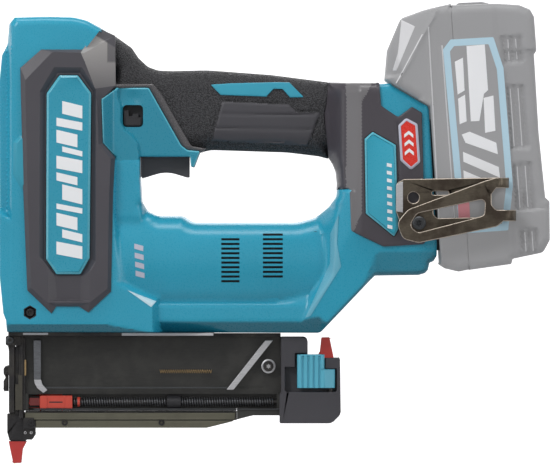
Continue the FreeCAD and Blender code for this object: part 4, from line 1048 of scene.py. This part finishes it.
def rim_height(x, z):
    """The smooth black band round the trigger guard, with a ridge along its middle."""
    line = [(48, 184.6), (65.8, 184.6), (67.6, 182.4), (82.8, 155.4), (91, 153.4)]
    away = distance_to(np.stack([x, z], 1), line, closed=False)
    return FRAME_OUT - 0.9 - 0.35 * away + 3.0 * ramp(-x, -60, -48)


def make_handle_inlay(side, label):
    outline = [(94.7, 185.2, 0.3), (105, 185.9), (126.6, 186.4, 0.5), (133.2, 186.3, 0.5),
               (140.4, 179.0, 0.3),
               (133.6, 178.9, 0.5), (129.9, 183.0, 0.8), (125.5, 183.1, 0.8), (122, 179.3, 0.5),
               (99.6, 180.1, 0.5)]
    def height(x, z):
        return grip_height(x, z) + 0.55 - 0.25 * ramp(z, 181, 187)
    inlay = shell(f"handle_inlay_{label}", rounded(outline), height, MATERIAL["teal_light"], side,
                  spacing=0.7, fillet=0.45, floor=9, sharp=40)
    ride(inlay, "frame", "casing_blue")


# ---------------------------------------------------------------- rear cover

REAR_COVER = [
    (152.4, 149.6), (150.2, 170.8), (151.4, 176), (152.4, 186.4), (160.5, 186.0, 20), (177.0, 185.9, 1),
    (177.9, 174.6, 1.5), (186.1, 169.1, 1.5), (192.8, 174.2, 1), (197.7, 171.3, 1), (199.3, 107.3, 1.5),
    (179, 106.1, 2), (163.1, 113.7, 2), (162.4, 134.3, 1), (156.4, 134.0), (156.6, 137),
    (156, 142.8, 5), (154.4, 146.6, 4),
]


def cover_height(x, z):
    """The handle's end flares out to a bevelled band and then the flat rear cover."""
    handle_end, band_start = 15.2, 30.2
    flare = handle_end + (band_start - handle_end) * ramp(x, 148.5, 161)
    band = band_start + (x - 160.6) * 0.68
    level = np.where(x < 160.6, flare, soft_min(band, np.full_like(x, COVER_OUT - 0.1), 0.5))
    level = np.maximum(level, casing_height(x, z) + np.where(z < 133, 0.5, -9.0))
    groove = np.exp(-(((x - 186.0) - (z - 150) * -0.022) / 0.4) ** 2)
    return level - 0.7 * groove * ramp(z, 120, 124) * (1 - ramp(z, 165.5, 167))


def cover_sheen_zone(x, z):
    """The bevelled band between the handle's end and the flat cover carries a painted sheen in a lighter
    grey.
    """
    right = 167.4 + 0.1 * (x - 160) - np.maximum(0, 122 - z) * 0.4 + np.maximum(0, z - 176) * 0.5
    return ((x > 160.7) & (x < right)).astype(int)


def cover_fillet(x, z):
    if z > 184 and x < 176:
        return 5.0
    if x < 157.5 and z < 150:
        return 4.5
    return 0.8


HOOK_BOSS = (196.2, 117.6)
BOSS_OUT = 38.2


def make_rear_cover(side, label):
    # The bevelled band carries a painted sheen.
    thing = shell(f"rear_cover_shell_{label}", rounded(REAR_COVER), cover_height,
                  [MATERIAL["rear"], MATERIAL["rear_painted_sheen"]], side, spacing=1.0, fillet=cover_fillet,
                  zone=cover_sheen_zone,
                  sharp=38)
    ride(thing, "frame", "panel_grey", f"rear_cover_{label}")
    top = COVER_OUT - 0.1
    outline = [(169.8, 158.5), (173.7, 161.9), (185, 155.5), (186.1, 114.7), (184.2, 111), (170.4, 122.2)]
    edge = rounded(outline, 0.6)
    seat = inset(edge, -0.6)
    stepped(f"rear_inlay_seat_{label}", [at(seat, top - 1), at(seat, top + 0.12)], "black", side, 0.05,
            "frame", "panel_grey")
    rings = [at(edge, top - 0.6), at(edge, top + 0.5), at(inset(edge, 1.1), top + 1.1)]
    # The rear inlay's bevel band carries a painted highlight.
    inlay = terrace(f"rear_inlay_{label}", rings, [MATERIAL["teal_highlight_and_dots"], MATERIAL["teal_inlay"]],
                    side, 0.2, zone=inset(edge, 0.8))
    ride(inlay, "frame", "casing_blue")
    for i in range(9):
        x, z = 180.9 - i * 0.04, 114.6 + 3.75 * i
        bar = [(x, z + 0.5), (x + 2.4, z), (x + 2.4, z + 1.7), (x, z + 2.2)]
        stepped(f"rear_mark_{label}_{i}", [at(bar, top + 0.9), at(bar, top + 1.2)], "white", side, 0,
                "frame", "casing_blue")
    make_badge(side, label, top)
    boss = circle(*HOOK_BOSS, 6)
    bore = circle(*HOOK_BOSS, 2)
    rings = [at(boss, top - 1), at(boss, BOSS_OUT - 0.5), at(inset(boss, 0.5), BOSS_OUT),
             at(bore, BOSS_OUT),
             at(bore, top - 6)]
    stepped(f"hook_boss_{label}", rings, "rear", side, 0.1, "frame", "panel_grey")


def make_badge(side, label, top):
    """A red badge with a light rim and three plain chevrons."""
    outline = [(186.9, 164.9), (190.1, 167.9), (194.9, 165.3), (196.2, 147.4), (192.4, 144.2),
               (187.9, 148.3)]
    rim = rounded([(x, z, 0.8) for x, z in outline])
    rings = [at(inset(rim, -0.7), top - 0.4), at(inset(rim, -0.7), top + 0.35), at(rim, top + 0.8),
             at(inset(rim, 0.45), top + 0.8), at(inset(rim, 0.6), top + 0.4)]
    stepped(f"badge_rim_{label}", rings, "silver_print", side, 0.1, "frame", "panel_grey")
    face = inset(rim, 0.55)
    stepped(f"badge_face_{label}", [at(face, top), at(face, top + 0.6)], "red_badge", side, 0.05,
            "frame", "red_plastic")
    for i in range(3):
        x, z = 191.4 + (1 - i) * 0.15, 150.4 + 4.3 * i
        mark = [(x - 2.2, z), (x, z + 1.8), (x + 2.2, z), (x + 2.2, z + 1.7), (x, z + 3.5),
                (x - 2.2, z + 1.7)]
        stepped(f"badge_mark_{label}_{i}", [at(mark, top + 0.5), at(mark, top + 0.75)], "white", side, 0,
                "frame", "red_plastic")


# ---------------------------------------------------------------- battery

LEAN = math.radians(4)
RAIL_START = (205.7, 108.3)


def leaned(u, w):
    """The (x, z) of a point that is u out from the battery's rail and w up along it."""
    return (RAIL_START[0] + u * math.cos(LEAN) - w * math.sin(LEAN),
            RAIL_START[1] + u * math.sin(LEAN) + w * math.cos(LEAN))


def unleaned(x, z):
    dx, dz = x - RAIL_START[0], z - RAIL_START[1]
    return dx * math.cos(LEAN) + dz * math.sin(LEAN), -dx * math.sin(LEAN) + dz * math.cos(LEAN)


BATTERY_BASE = [
    (180.0, 187.8, 1), (181.3, 202.4, 4), (187.6, 217.4, 3), (199, 221.4, 8), (212.3, 224.4, 1),
    leaned(14.0, 115), leaned(14.0, -14.4), (215.6, 93.9, 2), (210, 95.2, 2), (206.6, 97.4, 1),
    leaned(0.6, -10), leaned(0.6, 66.2), (184.6, 184.6, 1),
]
BATTERY_CASE = [
    leaned(14.1, 114.6), (234.3, 224.4, 4), (245.1, 223.7, 4), (250.3, 221.6, 2), (252.3, 218, 2),
    (253.5, 201.5, 0.8), (252.3, 199.7, 0.8), (254.6, 161.2), (257.8, 130.0, 1), (259.8, 128.2, 1),
    (260.0, 109.3, 3), (256.7, 103.2, 3), (241.8, 100.1, 1), (241.3, 97.6, 1), leaned(14.1, -14.6),
]


SHOULDER = ((184.7, 185.5), (197.5, 209.4))
BATTERY_LINES = (((200.4, 213.0), (205.6, 118.0)), ((207.0, 204.0), (213.2, 118.0)))
# The shoulder's paler facet, a painted highlight.
BATTERY_HIGHLIGHT_FACET = [(183.4, 191.6), (186.0, 200.4), (187.8, 216.6), (194.4, 213.2), (185.4, 191.8)]


def base_height(x, z):
    """A flat flank with two raised lines, and a slanted shoulder over the tool with a rib on its fold."""
    u, w = unleaned(x, z)
    flat = np.full_like(x, BATTERY_OUT - 0.5)
    across = ((x - SHOULDER[0][0]) * (SHOULDER[1][1] - SHOULDER[0][1])
              - (z - SHOULDER[0][1]) * (SHOULDER[1][0] - SHOULDER[0][0])) / math.dist(*SHOULDER)
    level = np.where(w > 60, soft_min(flat, flat + across * 0.75, 0.8), flat)
    level = soft_min(level, flat - 9 + (x - 182) * 1.4 + np.maximum(0, 190 - z) * 3, 0.8)
    level = level + 0.6 * np.exp(-((across - 1.2) / 0.6) ** 2) * ramp(w, 60, 66)
    for (x0, z0), (x1, z1) in BATTERY_LINES:
        line_x = x0 + (x1 - x0) * (z0 - z) / (z0 - z1)
        along = ramp(z, z1 - 3, z1 + 3) * (1 - ramp(z, z0 - 2, z0 + 1))
        level = level + 0.45 * np.exp(-((x - line_x) / 0.45) ** 2) * along
    return level


FLUTES = [(36.5, 48.0, 84, 98), (36.0, 47.5, 42, 74), (36.6, 48.4, 12, 36), (38.5, 49.0, -14, 4)]


def case_height(x, z):
    u, w = unleaned(x, z)
    level = np.full_like(x, BATTERY_OUT - 0.5)
    level = level - 0.5 * ramp(u, 34, 36)
    for u0, u1, w0, w1 in FLUTES:
        across = (u - u0) / (u1 - u0)
        within = ramp(w, w0, w0 + 1) * (1 - ramp(w, w1 - 1, w1))
        within = within * ramp(across, -0.02, 0.05) * (1 - ramp(across, 0.95, 1.02))
        level = level - within * 1.5 * (1 - np.cos(2 * math.pi * across * 3)) / 2 - within * 0.5
    ledge = ramp(w, 12.0, 12.5) * ramp(u, 38, 38.6) * (1 - ramp(w, 90, 90.6))
    top_seam = np.exp(-((x - 213.3) / 0.4) ** 2) * ramp(z, 209, 211)
    return level - 1.0 * ledge - 0.4 * top_seam


def battery_fillet(x, z):
    u, w = unleaned(x, z)
    if abs(u - 14.15) < 0.6 and -13 < w < 113:
        return 0.3
    if u < 1.5 and w < 70:
        return 1.2
    return 4.0


def make_battery(side, label):
    base = shell(f"battery_base_shell_{label}", rounded(BATTERY_BASE), base_height, MATERIAL["battery"],
                 side,
                 spacing=1.0, fillet=battery_fillet, sharp=40)
    ride(base, "battery", "battery_grey", "battery_base")
    case = shell(f"battery_case_shell_{label}", rounded(BATTERY_CASE), case_height, MATERIAL["battery"],
                 side,
                 spacing=1.2, fillet=battery_fillet, sharp=40)
    ride(case, "battery", "battery_grey", "battery_case")
    def raised(x, z):
        return base_height(x, z) + 0.2
    # A painted highlight on the shoulder facet.
    facet = shell(f"battery_highlight_facet_{label}", BATTERY_HIGHLIGHT_FACET, raised, MATERIAL["battery_painted_highlight"], side,
                  spacing=0.8, fillet=0.15, floor=BATTERY_OUT - 20, sharp=40)
    ride(facet, "battery", "battery_grey")
    # Painted highlights along the two raised lines and the shoulder's rib.
    for i, ((x0, z0), (x1, z1)) in enumerate(BATTERY_LINES + (SHOULDER[::-1],)):
        line = [(x0 + 0.1, z0), (x0 + 0.75, z0), (x1 + 0.75, z1), (x1 + 0.1, z1)]
        fitted(f"battery_line_{label}_{i}", line, base_height, 0.12, MATERIAL["battery_painted_highlight"], side,
               "battery")
    make_flute_edges(side, label)
    make_battery_label(side, label)


def fitted(name, outline, height, lift, material, side, body):
    """A thin sheet that lies on a shell's surface."""
    loop = resampled(outline, 2.0)
    x, z = np.array(loop).T
    level = height(x, z)
    rings = [[(*p, y - 0.3) for p, y in zip(loop, level)], [(*p, y + lift) for p, y in zip(loop, level)]]
    ride(terrace(name, rings, material, side, 0.05), body, "battery_grey")


def make_flute_edges(side, label):
    """Painted highlights as pale lines along the folds of the finger flutes."""
    for u0, u1, w0, w1 in FLUTES:
        for third in (1, 2):
            u = u0 + (u1 - u0) * third / 3
            (x0, z0), (x1, z1) = leaned(u, max(-7.5, w0 + 2)), leaned(u, w1 - 2)
            line = [(x0, z0), (x0 + 0.4, z0), (x1 + 0.4, z1), (x1, z1)]
            fitted(f"flute_edge_{label}_{w0}_{third}", line, case_height, 0.08, MATERIAL["battery_painted_highlight"],
                   side, "battery")


LABEL_BORDER = [
    (207.9, 202.0), (211.5, 206.8), (232.4, 208.0), (237.3, 193.0), (241.9, 135.8), (239.6, 114.0),
    (216.0, 112.4),
]
LABEL_BLOCKS = [
    [(219.3, 203.6), (228.2, 204.4), (229.8, 182.2), (227.8, 180.4), (225.6, 167.2), (221.4, 167.0)],
    [(213.6, 196.0), (217.6, 198.0), (218.4, 182.0), (215.0, 180.0)],
    [(215.2, 178.0), (218.6, 180.0), (219.4, 167.0), (216.0, 165.6)],
    [(227.6, 178.4), (232.4, 179.6), (233.4, 162.4), (228.4, 161.4)],
    [(217.0, 160.6), (220.8, 162.0), (233.8, 156.6), (234.6, 151.0), (218.8, 156.6)],
    [(217.6, 152.2), (235.0, 144.8), (235.6, 139.6), (217.8, 147.4)],
    [(217.8, 143.2), (228.0, 138.8), (228.2, 134.6), (218.0, 138.8)],
    [(215.0, 128.0), (220.6, 128.8), (221.2, 118.0), (215.6, 117.6)],
]


def make_battery_label(side, label):
    """A faint border and plain blocks where a battery has its label; the last block is red."""
    out = BATTERY_OUT
    layers = [("label_frame", rounded(LABEL_BORDER, 0.8), out - 1.2, out - 0.3, "battery_blue"),
              ("label_field", rounded(inset(LABEL_BORDER, 3.3), 0.8), out - 1.0, out - 0.2, "battery")]
    for name, loop, low, high, material in layers:
        stepped(f"{name}_{label}", [at(loop, low), at(loop, high)], material, side, 0,
                "battery", "battery_grey")
    for i, loop in enumerate(LABEL_BLOCKS):
        material = "battery_red" if loop is LABEL_BLOCKS[-1] else "battery_white"
        stepped(f"label_mark_{label}_{i}", [at(loop, out - 0.8), at(loop, out - 0.05)], material, side, 0,
                "battery", "battery_grey")


# ---------------------------------------------------------------- nose, magazine and hook


def star(x, z, radius):
    """The outline of a six-lobed screw socket."""
    return [(x + radius * (1 if i % 2 else 0.66) * math.cos(math.pi * i / 6),
             z + radius * (1 if i % 2 else 0.66) * math.sin(math.pi * i / 6)) for i in range(12)]


def screw_head(name, place, radius, out, side, body, material="blackened"):
    """A button head with a six-lobed socket; out is how far its face is from the middle plane."""
    head = circle(*place, radius)
    socket = star(*place, radius * 0.5)
    rings = [at(head, out - 1.4), at(head, out - 0.5), at(inset(head, radius * 0.2), out), at(socket, out),
             at(socket, out - 0.9)]
    stepped(name, rings, material, side, 0.08, body, "blackened_steel")


def plate(name, outline, low, high, material, side, body, bevel=0.12):
    """A small flat piece in one colour."""
    ride(slab(name, outline, low, high, MATERIAL[material], side, bevel), body, "blackened_steel")


# name, outline, bottom and top from the middle plane, colour, body and bevel
NOSE_PLATES = [
    ("nose_wall", [(-1.15, 24.0), (3.15, 24.0), (3.15, 62.2), (-0.7, 62.2), (-0.7, 57.0), (-1.15, 57.0)],
     2.2, 5.4, "blackened", "frame", 0.12),
    ("nose_foot", box_loop(-3.9, 23.6, 3.6, 24.9), 1.2, 4.1, "blackened", "frame", 0.05),
    ("nose_column", box_loop(2.7, 25.8, 3.9, 61.6), 0.9, 7.2, "blackened", "frame", 0.1),
    ("nose_tip_seat", box_loop(-3.4, 10.5, 4.0, 11.4), 1.2, 3.2, "black", "nose_tip", 0.05),
    ("nose_plate", [(-0.9, 26.0), (2.6, 26.0), (2.6, 43.2), (0.6, 43.2), (0.6, 38.6), (-0.9, 38.6)],
     5.3, 8.6, "olive_dark", "frame", 0.2),
]
BRACKET_UPPER = [(3.0, 16.8), (8.7, 16.8), (9.0, 20.0), (8.0, 22.3), (3.0, 22.3)]
BRACKET_LOWER = [(3.0, 11.5), (6.9, 11.5), (7.6, 13.4), (8.8, 13.6), (8.8, 17.2), (3.0, 17.2)]


def make_nose(side, label):
    """Side walls that close the pin channel, the thin plates on them, and the rail's front bracket."""
    for name, outline, low, high, material, body, bevel in NOSE_PLATES:
        plate(f"{name}_{label}", outline, low, high, material, side, body, bevel)
    for i in range(5):
        z = 44.2 + 1.15 * i
        turn = [(-0.8, z), (2.0, z + 0.5), (2.0, z + 1.0), (-0.8, z + 0.5)]
        plate(f"nose_coil_{label}_{i}", turn, 5.3, 6.1, "black", side, "frame", 0.1)
    for name, outline, reach in (("upper", BRACKET_UPPER, 6.9), ("lower", BRACKET_LOWER, 5.6)):
        plate(f"nose_bracket_{name}_{label}", outline, 2.0, reach, "blackened", side, "frame", 0.3)
    screw_head(f"nose_screw_{label}", (6.8, 19.7), 1.6, 7.5, side, "frame")
    for i, x in enumerate((3.9, 6.8)):
        screw_head(f"nose_rivet_{label}_{i}", (x, 14.9), 0.8, 6.2, side, "frame", "bright")
    screw_head(f"nose_pivot_head_{label}", (-3.4, 60.3), 2.0, 9.9, side, "frame", "worn_dark")


RAIL_CORE = [
    (3.9, 25.5), (3.9, 20.9), (9.0, 20.9), (9.0, 17.5), (92.6, 17.5), (106.0, 20.9), (107.5, 21.2),
    (107.5, 25.5),
]


def make_rail(side, label):
    """The olive bottom rail: two plates on a dark core, with a fine line between them."""
    core = slab(f"rail_core_{label}", RAIL_CORE, 0, 5.6, MATERIAL["blackened"], side, 0.1)
    ride(core, "frame", "olive_steel", "bottom_rail")
    upper = [(3.8, 21.3), (106.4, 21.3), (106.8, 24.7), (3.8, 24.7)]
    lower = [(9.0, 17.3), (92.8, 17.3), (105.6, 20.5), (105.6, 20.9), (9.0, 20.9)]
    for name, outline, high in (("rail_upper", upper, 6.4), ("rail_lower", lower, 6.1)):
        rail = slab(f"{name}_{label}", outline, 5.0, high, MATERIAL["olive"], side, 0.2)
        ride(rail, "frame", "olive_steel")
    for i, x in enumerate((23.2, 70.6)):
        screw_head(f"rail_screw_{label}_{i}", (x, 19.9), 1.5, 6.9, side, "frame")


# name, outline, bottom and top past the magazine's side, colour and bevel
MAGAZINE_TRIM = [
    ("magazine_rib_front", [(8.0, 60.4), (11.6, 60.4), (11.6, 41.0), (8.2, 41.0)],
     -0.4, 0.5, "worn_steel", 0.35),
    # The rib's curved foot is given the pale satin colour as a painted highlight.
    ("magazine_rib_foot",
     [(8.2, 41.0), (11.6, 41.0), (12.4, 38.6), (14.8, 35.8), (12.8, 34.4), (9.8, 36.8), (8.6, 39.0)],
     -0.4, 0.5, "satin", 0.2),
    ("magazine_strip", [(121.4, 60.2), (125.2, 60.2), (105.9, 36.0), (102.4, 36.0)],
     -0.4, 0.5, "satin", 0.3),
    ("magazine_fold", [(12.0, 37.4), (103.2, 37.4), (102.6, 36.6), (13.0, 36.6)],
     -0.4, 0.25, "worn_dark", 0.15),
    ("magazine_low_line", box_loop(8.0, 26.2, 128.6, 26.8), -0.6, 0.2, "worn_dark", 0.1),
    ("brass_strip", box_loop(3.6, 43.0, 4.4, 50.6), -0.5, 0.4, "brass", 0.12),
]
MAGAZINE_SCREW = (123.0, 47.5)


def coil(low, high, middle, radius, turns, start=0.0, steps=10):
    """The path of a coil along x; middle and radius are its (y, z) axis and half widths."""
    path = []
    for i in range(turns * steps + 1):
        turn = start + 2 * math.pi * i / steps
        path.append((low + (high - low) * i / (turns * steps),
                     middle[0] + radius[0] * math.cos(turn), middle[1] + radius[1] * math.sin(turn)))
    return path


def make_magazine_marks():
    """What shows on the sliding side of the magazine: pressed ribs, a strip, a screw and a spare spring."""
    out = outer("magazine_base")
    for name, outline, low, high, material, bevel in MAGAZINE_TRIM:
        plate(name, outline, out + low, out + high, material, LEFT, "magazine", bevel)
    rim = circle(*MAGAZINE_SCREW, 3.5)
    rings = [at(rim, out - 0.4), at(rim, out + 0.3), at(inset(rim, 0.6), out + 0.6),
             at(inset(rim, 0.9), out + 0.1)]
    stepped("magazine_screw_rim", rings, "satin", LEFT, 0.08, "magazine", "bright_steel")
    screw_head("magazine_screw_face", MAGAZINE_SCREW, 2.5, out + 0.7, LEFT, "magazine")
    path = coil(69.8, 95.2, (-(out + 0.35), 45), (0.5, 0.85), 23, math.pi / 2)
    ride(tube("spare_spring", path, 0.16, MATERIAL["brass"], 2), "magazine", "spring_steel")
    joint = [(128.6, 19.8), (130.2, 19.8), (130.2, 51.4), (131.0, 51.4), (131.0, 61.8), (128.6, 61.8)]
    plate("magazine_joint", joint, 0.8, out - 0.1, "blackened", LEFT, "magazine", 0.1)
    plate("magazine_lip", box_loop(107.7, 26.2, 128.8, 27.4), 0.7, 1.3, "blackened", LEFT, "magazine", 0.05)
    corner = rounded(box_loop(128.4, 19.6, 131.0, 34.6), 0.8)
    plate("magazine_end_corner", corner, 6.6, 11.9, "end_block", LEFT, "magazine", 0.3)
    for i in range(4):
        dot = circle(139.8 + 2.7 * i, 51.6, 0.45, 10)
        plate(f"lever_dot_{i}", dot, 13.6, 14.05, "teal_highlight_and_dots", LEFT, "magazine_latch", 0.05)


def make_seat_strips(side, label):
    """Bright edges of the plate that the magazine hangs from."""
    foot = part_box("mechanism_frame")[1].y / MM + 0.2
    front, rear = box_loop(3.2, 63.0, 15.4, 64.0), box_loop(51.4, 62.6, 96.1, 64.0)
    dark = box_loop(3.2, 61.8, 129.0, 63.6)
    plate(f"seat_strip_front_{label}", front, foot - 2, foot, "satin", side, "frame", 0.1)
    plate(f"seat_strip_{label}", rear, 3.0, foot, "satin", side, "frame", 0.15)
    plate(f"seat_dark_{label}", dark, 3.0, 7.0, "blackened", side, "frame", 0.15)


def make_pusher_marks():
    """The follower's two collars, its engraved line, and the collar that seats the spring."""
    out = -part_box("pusher")[0].y / MM
    for name, x0, x1 in (("pusher_collar_front", 11.2, 14.6), ("pusher_collar_rear", 23.7, 27.0)):
        plate(name, box_loop(x0, 26.8, x1, 33.0), 3.0, out + 0.5, "pusher_red", LEFT, "pusher", 0.3)
    tail = box_loop(6.0, 28.2, 11.0, 32.0)
    plate("pusher_tail", tail, out - 1.2, out - 0.3, "pusher_tail", LEFT, "pusher", 0.2)
    line = box_loop(15.7, 29.6, 22.2, 30.2)
    plate("pusher_line", line, out - 0.4, out + 0.06, "black", LEFT, "pusher", 0)
    ring = circle(3.8, 30.0, 2.4)
    rings = [[(29.4, y, z) for y, z in ring], [(30.7, y, z) for y, z in ring]]
    vertices = [(x, -y, z) for loop in rings for x, y, z in loop]
    count = len(ring)
    faces = [[i, (i + 1) % count, count + (i + 1) % count, count + i] for i in range(count)]
    faces += [list(range(count)), list(range(count, 2 * count))]
    ride(soften(finished("pusher_ring", vertices, faces, MATERIAL["pusher_red"]), 0.2), "pusher",
         "red_plastic")


def make_fine_spring():
    """The pusher's long spring with its real, close pitch."""
    lo, hi = (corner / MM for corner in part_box("pusher_spring"))
    wire = 0.22
    radius = (hi.z - lo.z) / 2 - wire - 0.05
    path = coil(lo.x + 0.3, hi.x - 0.3, ((lo.y + hi.y) / 2, (lo.z + hi.z) / 2), (radius, radius), 80)
    ride(tube("fine_spring", path, wire, MATERIAL["worn_steel"], 2), "magazine", "spring_steel",
         "pusher_spring")


def make_hook_marks():
    """The hook's bare bent edge and the star socket in its screw."""
    out = -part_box("belt_hook")[0].y / MM
    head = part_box("hook_screw")
    x, z = (head[0].x + head[1].x) / 2 / MM, (head[0].z + head[1].z) / 2 / MM
    screw_head("hook_screw_face", (x, z), 3.2, -head[0].y / MM + 0.9, LEFT, "frame", "worn_dark")
    leg_out = out - 11.3
    flange = [(185.2, 123.2), (188.4, 122.6), (188.4, 137.8), (185.2, 136.4)]
    plate("hook_flange", flange, leg_out - 1.0, leg_out + 0.5, "satin", LEFT, "frame", 0.3)


# ---------------------------------------------------------------- carried-over parts


def dress_nodes():
    """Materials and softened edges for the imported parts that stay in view."""
    special = {
        "magazine_base": "magazine", "magazine_door": "magazine", "magazine_end": "end_block",
        "nose_latch": "blackened", "belt_hook": "hook", "magazine_latch": "lever", "trigger": "trigger",
        # The spare tip gets a red brightened as painted light.
        "pusher_rod": "blackened", "pusher": "pusher_red", "spare_tip": "spare_red_painted_light",
        "nose_pivot_pin": "blackened", "latch_pivot_pin": "blackened", "latch_shaft": "blackened",
    }
    slots = {part["node"]: part["material_slot"] for part in frame["record"]["subparts"]}
    rounded_nodes = (
        "trigger", "magazine_latch", "nose_door", "nose_latch", "nose_tip", "spare_tip",
        "pusher", "magazine_end", "driver_guide",
    )
    for name, thing in frame["nodes"].items():
        thing.data.materials.clear()
        thing.data.materials.append(MATERIAL[special.get(name, BY_SLOT[slots[name]])])
        if name in rounded_nodes:
            soften_packed(thing, 0.3, 35)
    hook = frame["nodes"]["belt_hook"]
    # The hook's bevels take a pale colour as a painted highlight.
    hook.data.materials.append(MATERIAL["hook_edge_highlight"])
    soften_packed(hook, 0.4, 50).modifiers["edges"].material = 1


# ---------------------------------------------------------------- stage


def make_stage():
    """A large pale bowl round the object: floor far below, wall behind."""
    rows = [
        (0.0, -0.75), (6.0, -0.75), (8.0, -0.7), (9.2, -0.45), (9.9, 0.1), (10.0, 0.9), (10.0, 3.0),
        (9.7, 5.5),
        (8.5, 8.0),
    ]
    count = 72
    vertices, faces = [], []
    for radius, z in rows:
        for i in range(count):
            turn = 2 * math.pi * i / count
            vertices.append((126 + radius * 1000 * math.cos(turn), radius * 1000 * math.sin(turn),
                             z * 1000))
    for r in range(len(rows) - 1):
        for i in range(count):
            a, b = r * count + i, r * count + (i + 1) % count
            faces.append([a, b, b + count, a + count])
    n = Nodes("studio_paper")
    fibres = n.between(n.noise(3, 4), 0.3, 0.7, 0.99, 1.01)
    glow = n.between(n.axis("Z"), -0.72, -0.5, 0.1, 0.88)
    low_part = n.between(n.axis("Z"), 1.5, 3.5, 1.0, 0.2)
    far_part = n.between(n.axis("Y"), -2.5, 2.5, 0.42, 1.0)
    for share in (low_part, far_part, fibres):
        glow = n.combined("MULTIPLY", glow, share)
    n.set(Base_Color=(0.62, 0.62, 0.63, 1), Roughness=0.9, Emission_Color=(1, 1, 1, 1))
    n.link(glow, n.shader.inputs["Emission Strength"])
    floor = finished("studio_floor", vertices, faces, n.material, 80)


def area_light(name, place, target, width, height, power):
    light = bpy.data.lights.new(name, "AREA")
    light.shape = "RECTANGLE"
    light.size, light.size_y = width, height
    light.energy = power
    thing = placed(name, light)
    thing.location = place
    thing.rotation_mode = "QUATERNION"
    thing.rotation_quaternion = (Vector(target) - Vector(place)).to_track_quat("-Z", "Y")


def make_lights():
    middle = (0.126, 0, 0.12)
    area_light("key", (-0.5, -1.0, 0.8), middle, 0.45, 0.5, 6.0)
    area_light("top", (0.1, -0.25, 1.2), middle, 0.8, 0.4, 5)
    area_light("side", (1.1, -0.8, 0.35), middle, 0.25, 0.7, 1.8)
    area_light("front_strip", (-1.0, -0.25, 0.25), middle, 0.2, 0.7, 1.0)
    area_light("behind", (0.2, 1.1, 0.8), middle, 0.9, 0.6, 5.5)
    world = bpy.data.worlds.new("studio_air")
    world.use_nodes = True
    world.node_tree.nodes["Background"].inputs["Color"].default_value = (1, 1, 1, 1)
    world.node_tree.nodes["Background"].inputs["Strength"].default_value = 0.3
    bpy.context.scene.world = world


def make_camera():
    lens = bpy.data.cameras.new("camera")
    lens.lens = 600
    lens.sensor_width = 36
    thing = placed("camera", lens)
    width_in_view, depth_of_plane = 0.2680, 0.028
    distance = width_in_view * lens.lens / lens.sensor_width + depth_of_plane
    thing.location = (0.1262, -distance, 0.1132)
    thing.rotation_euler = (math.radians(90), 0, 0)
    bpy.context.scene.camera = thing
    bpy.context.scene.view_settings.view_transform = "Standard"


for side, label in SIDES:
    make_casing(side, label)
    make_casing_facets(side, label)
    make_front_pad(side, label)
    make_hex_socket(side, label)
    make_side_panel(side, label)
    make_trigger_frame(side, label)
    make_grip(side, label)
    make_rear_cover(side, label)
    make_battery(side, label)
    make_nose(side, label)
    make_rail(side, label)
    make_seat_strips(side, label)
make_lock_button()
make_trigger_heel()
make_magazine_marks()
make_pusher_marks()
make_fine_spring()
make_hook_marks()
dress_nodes()
make_stage()
make_lights()
make_camera()
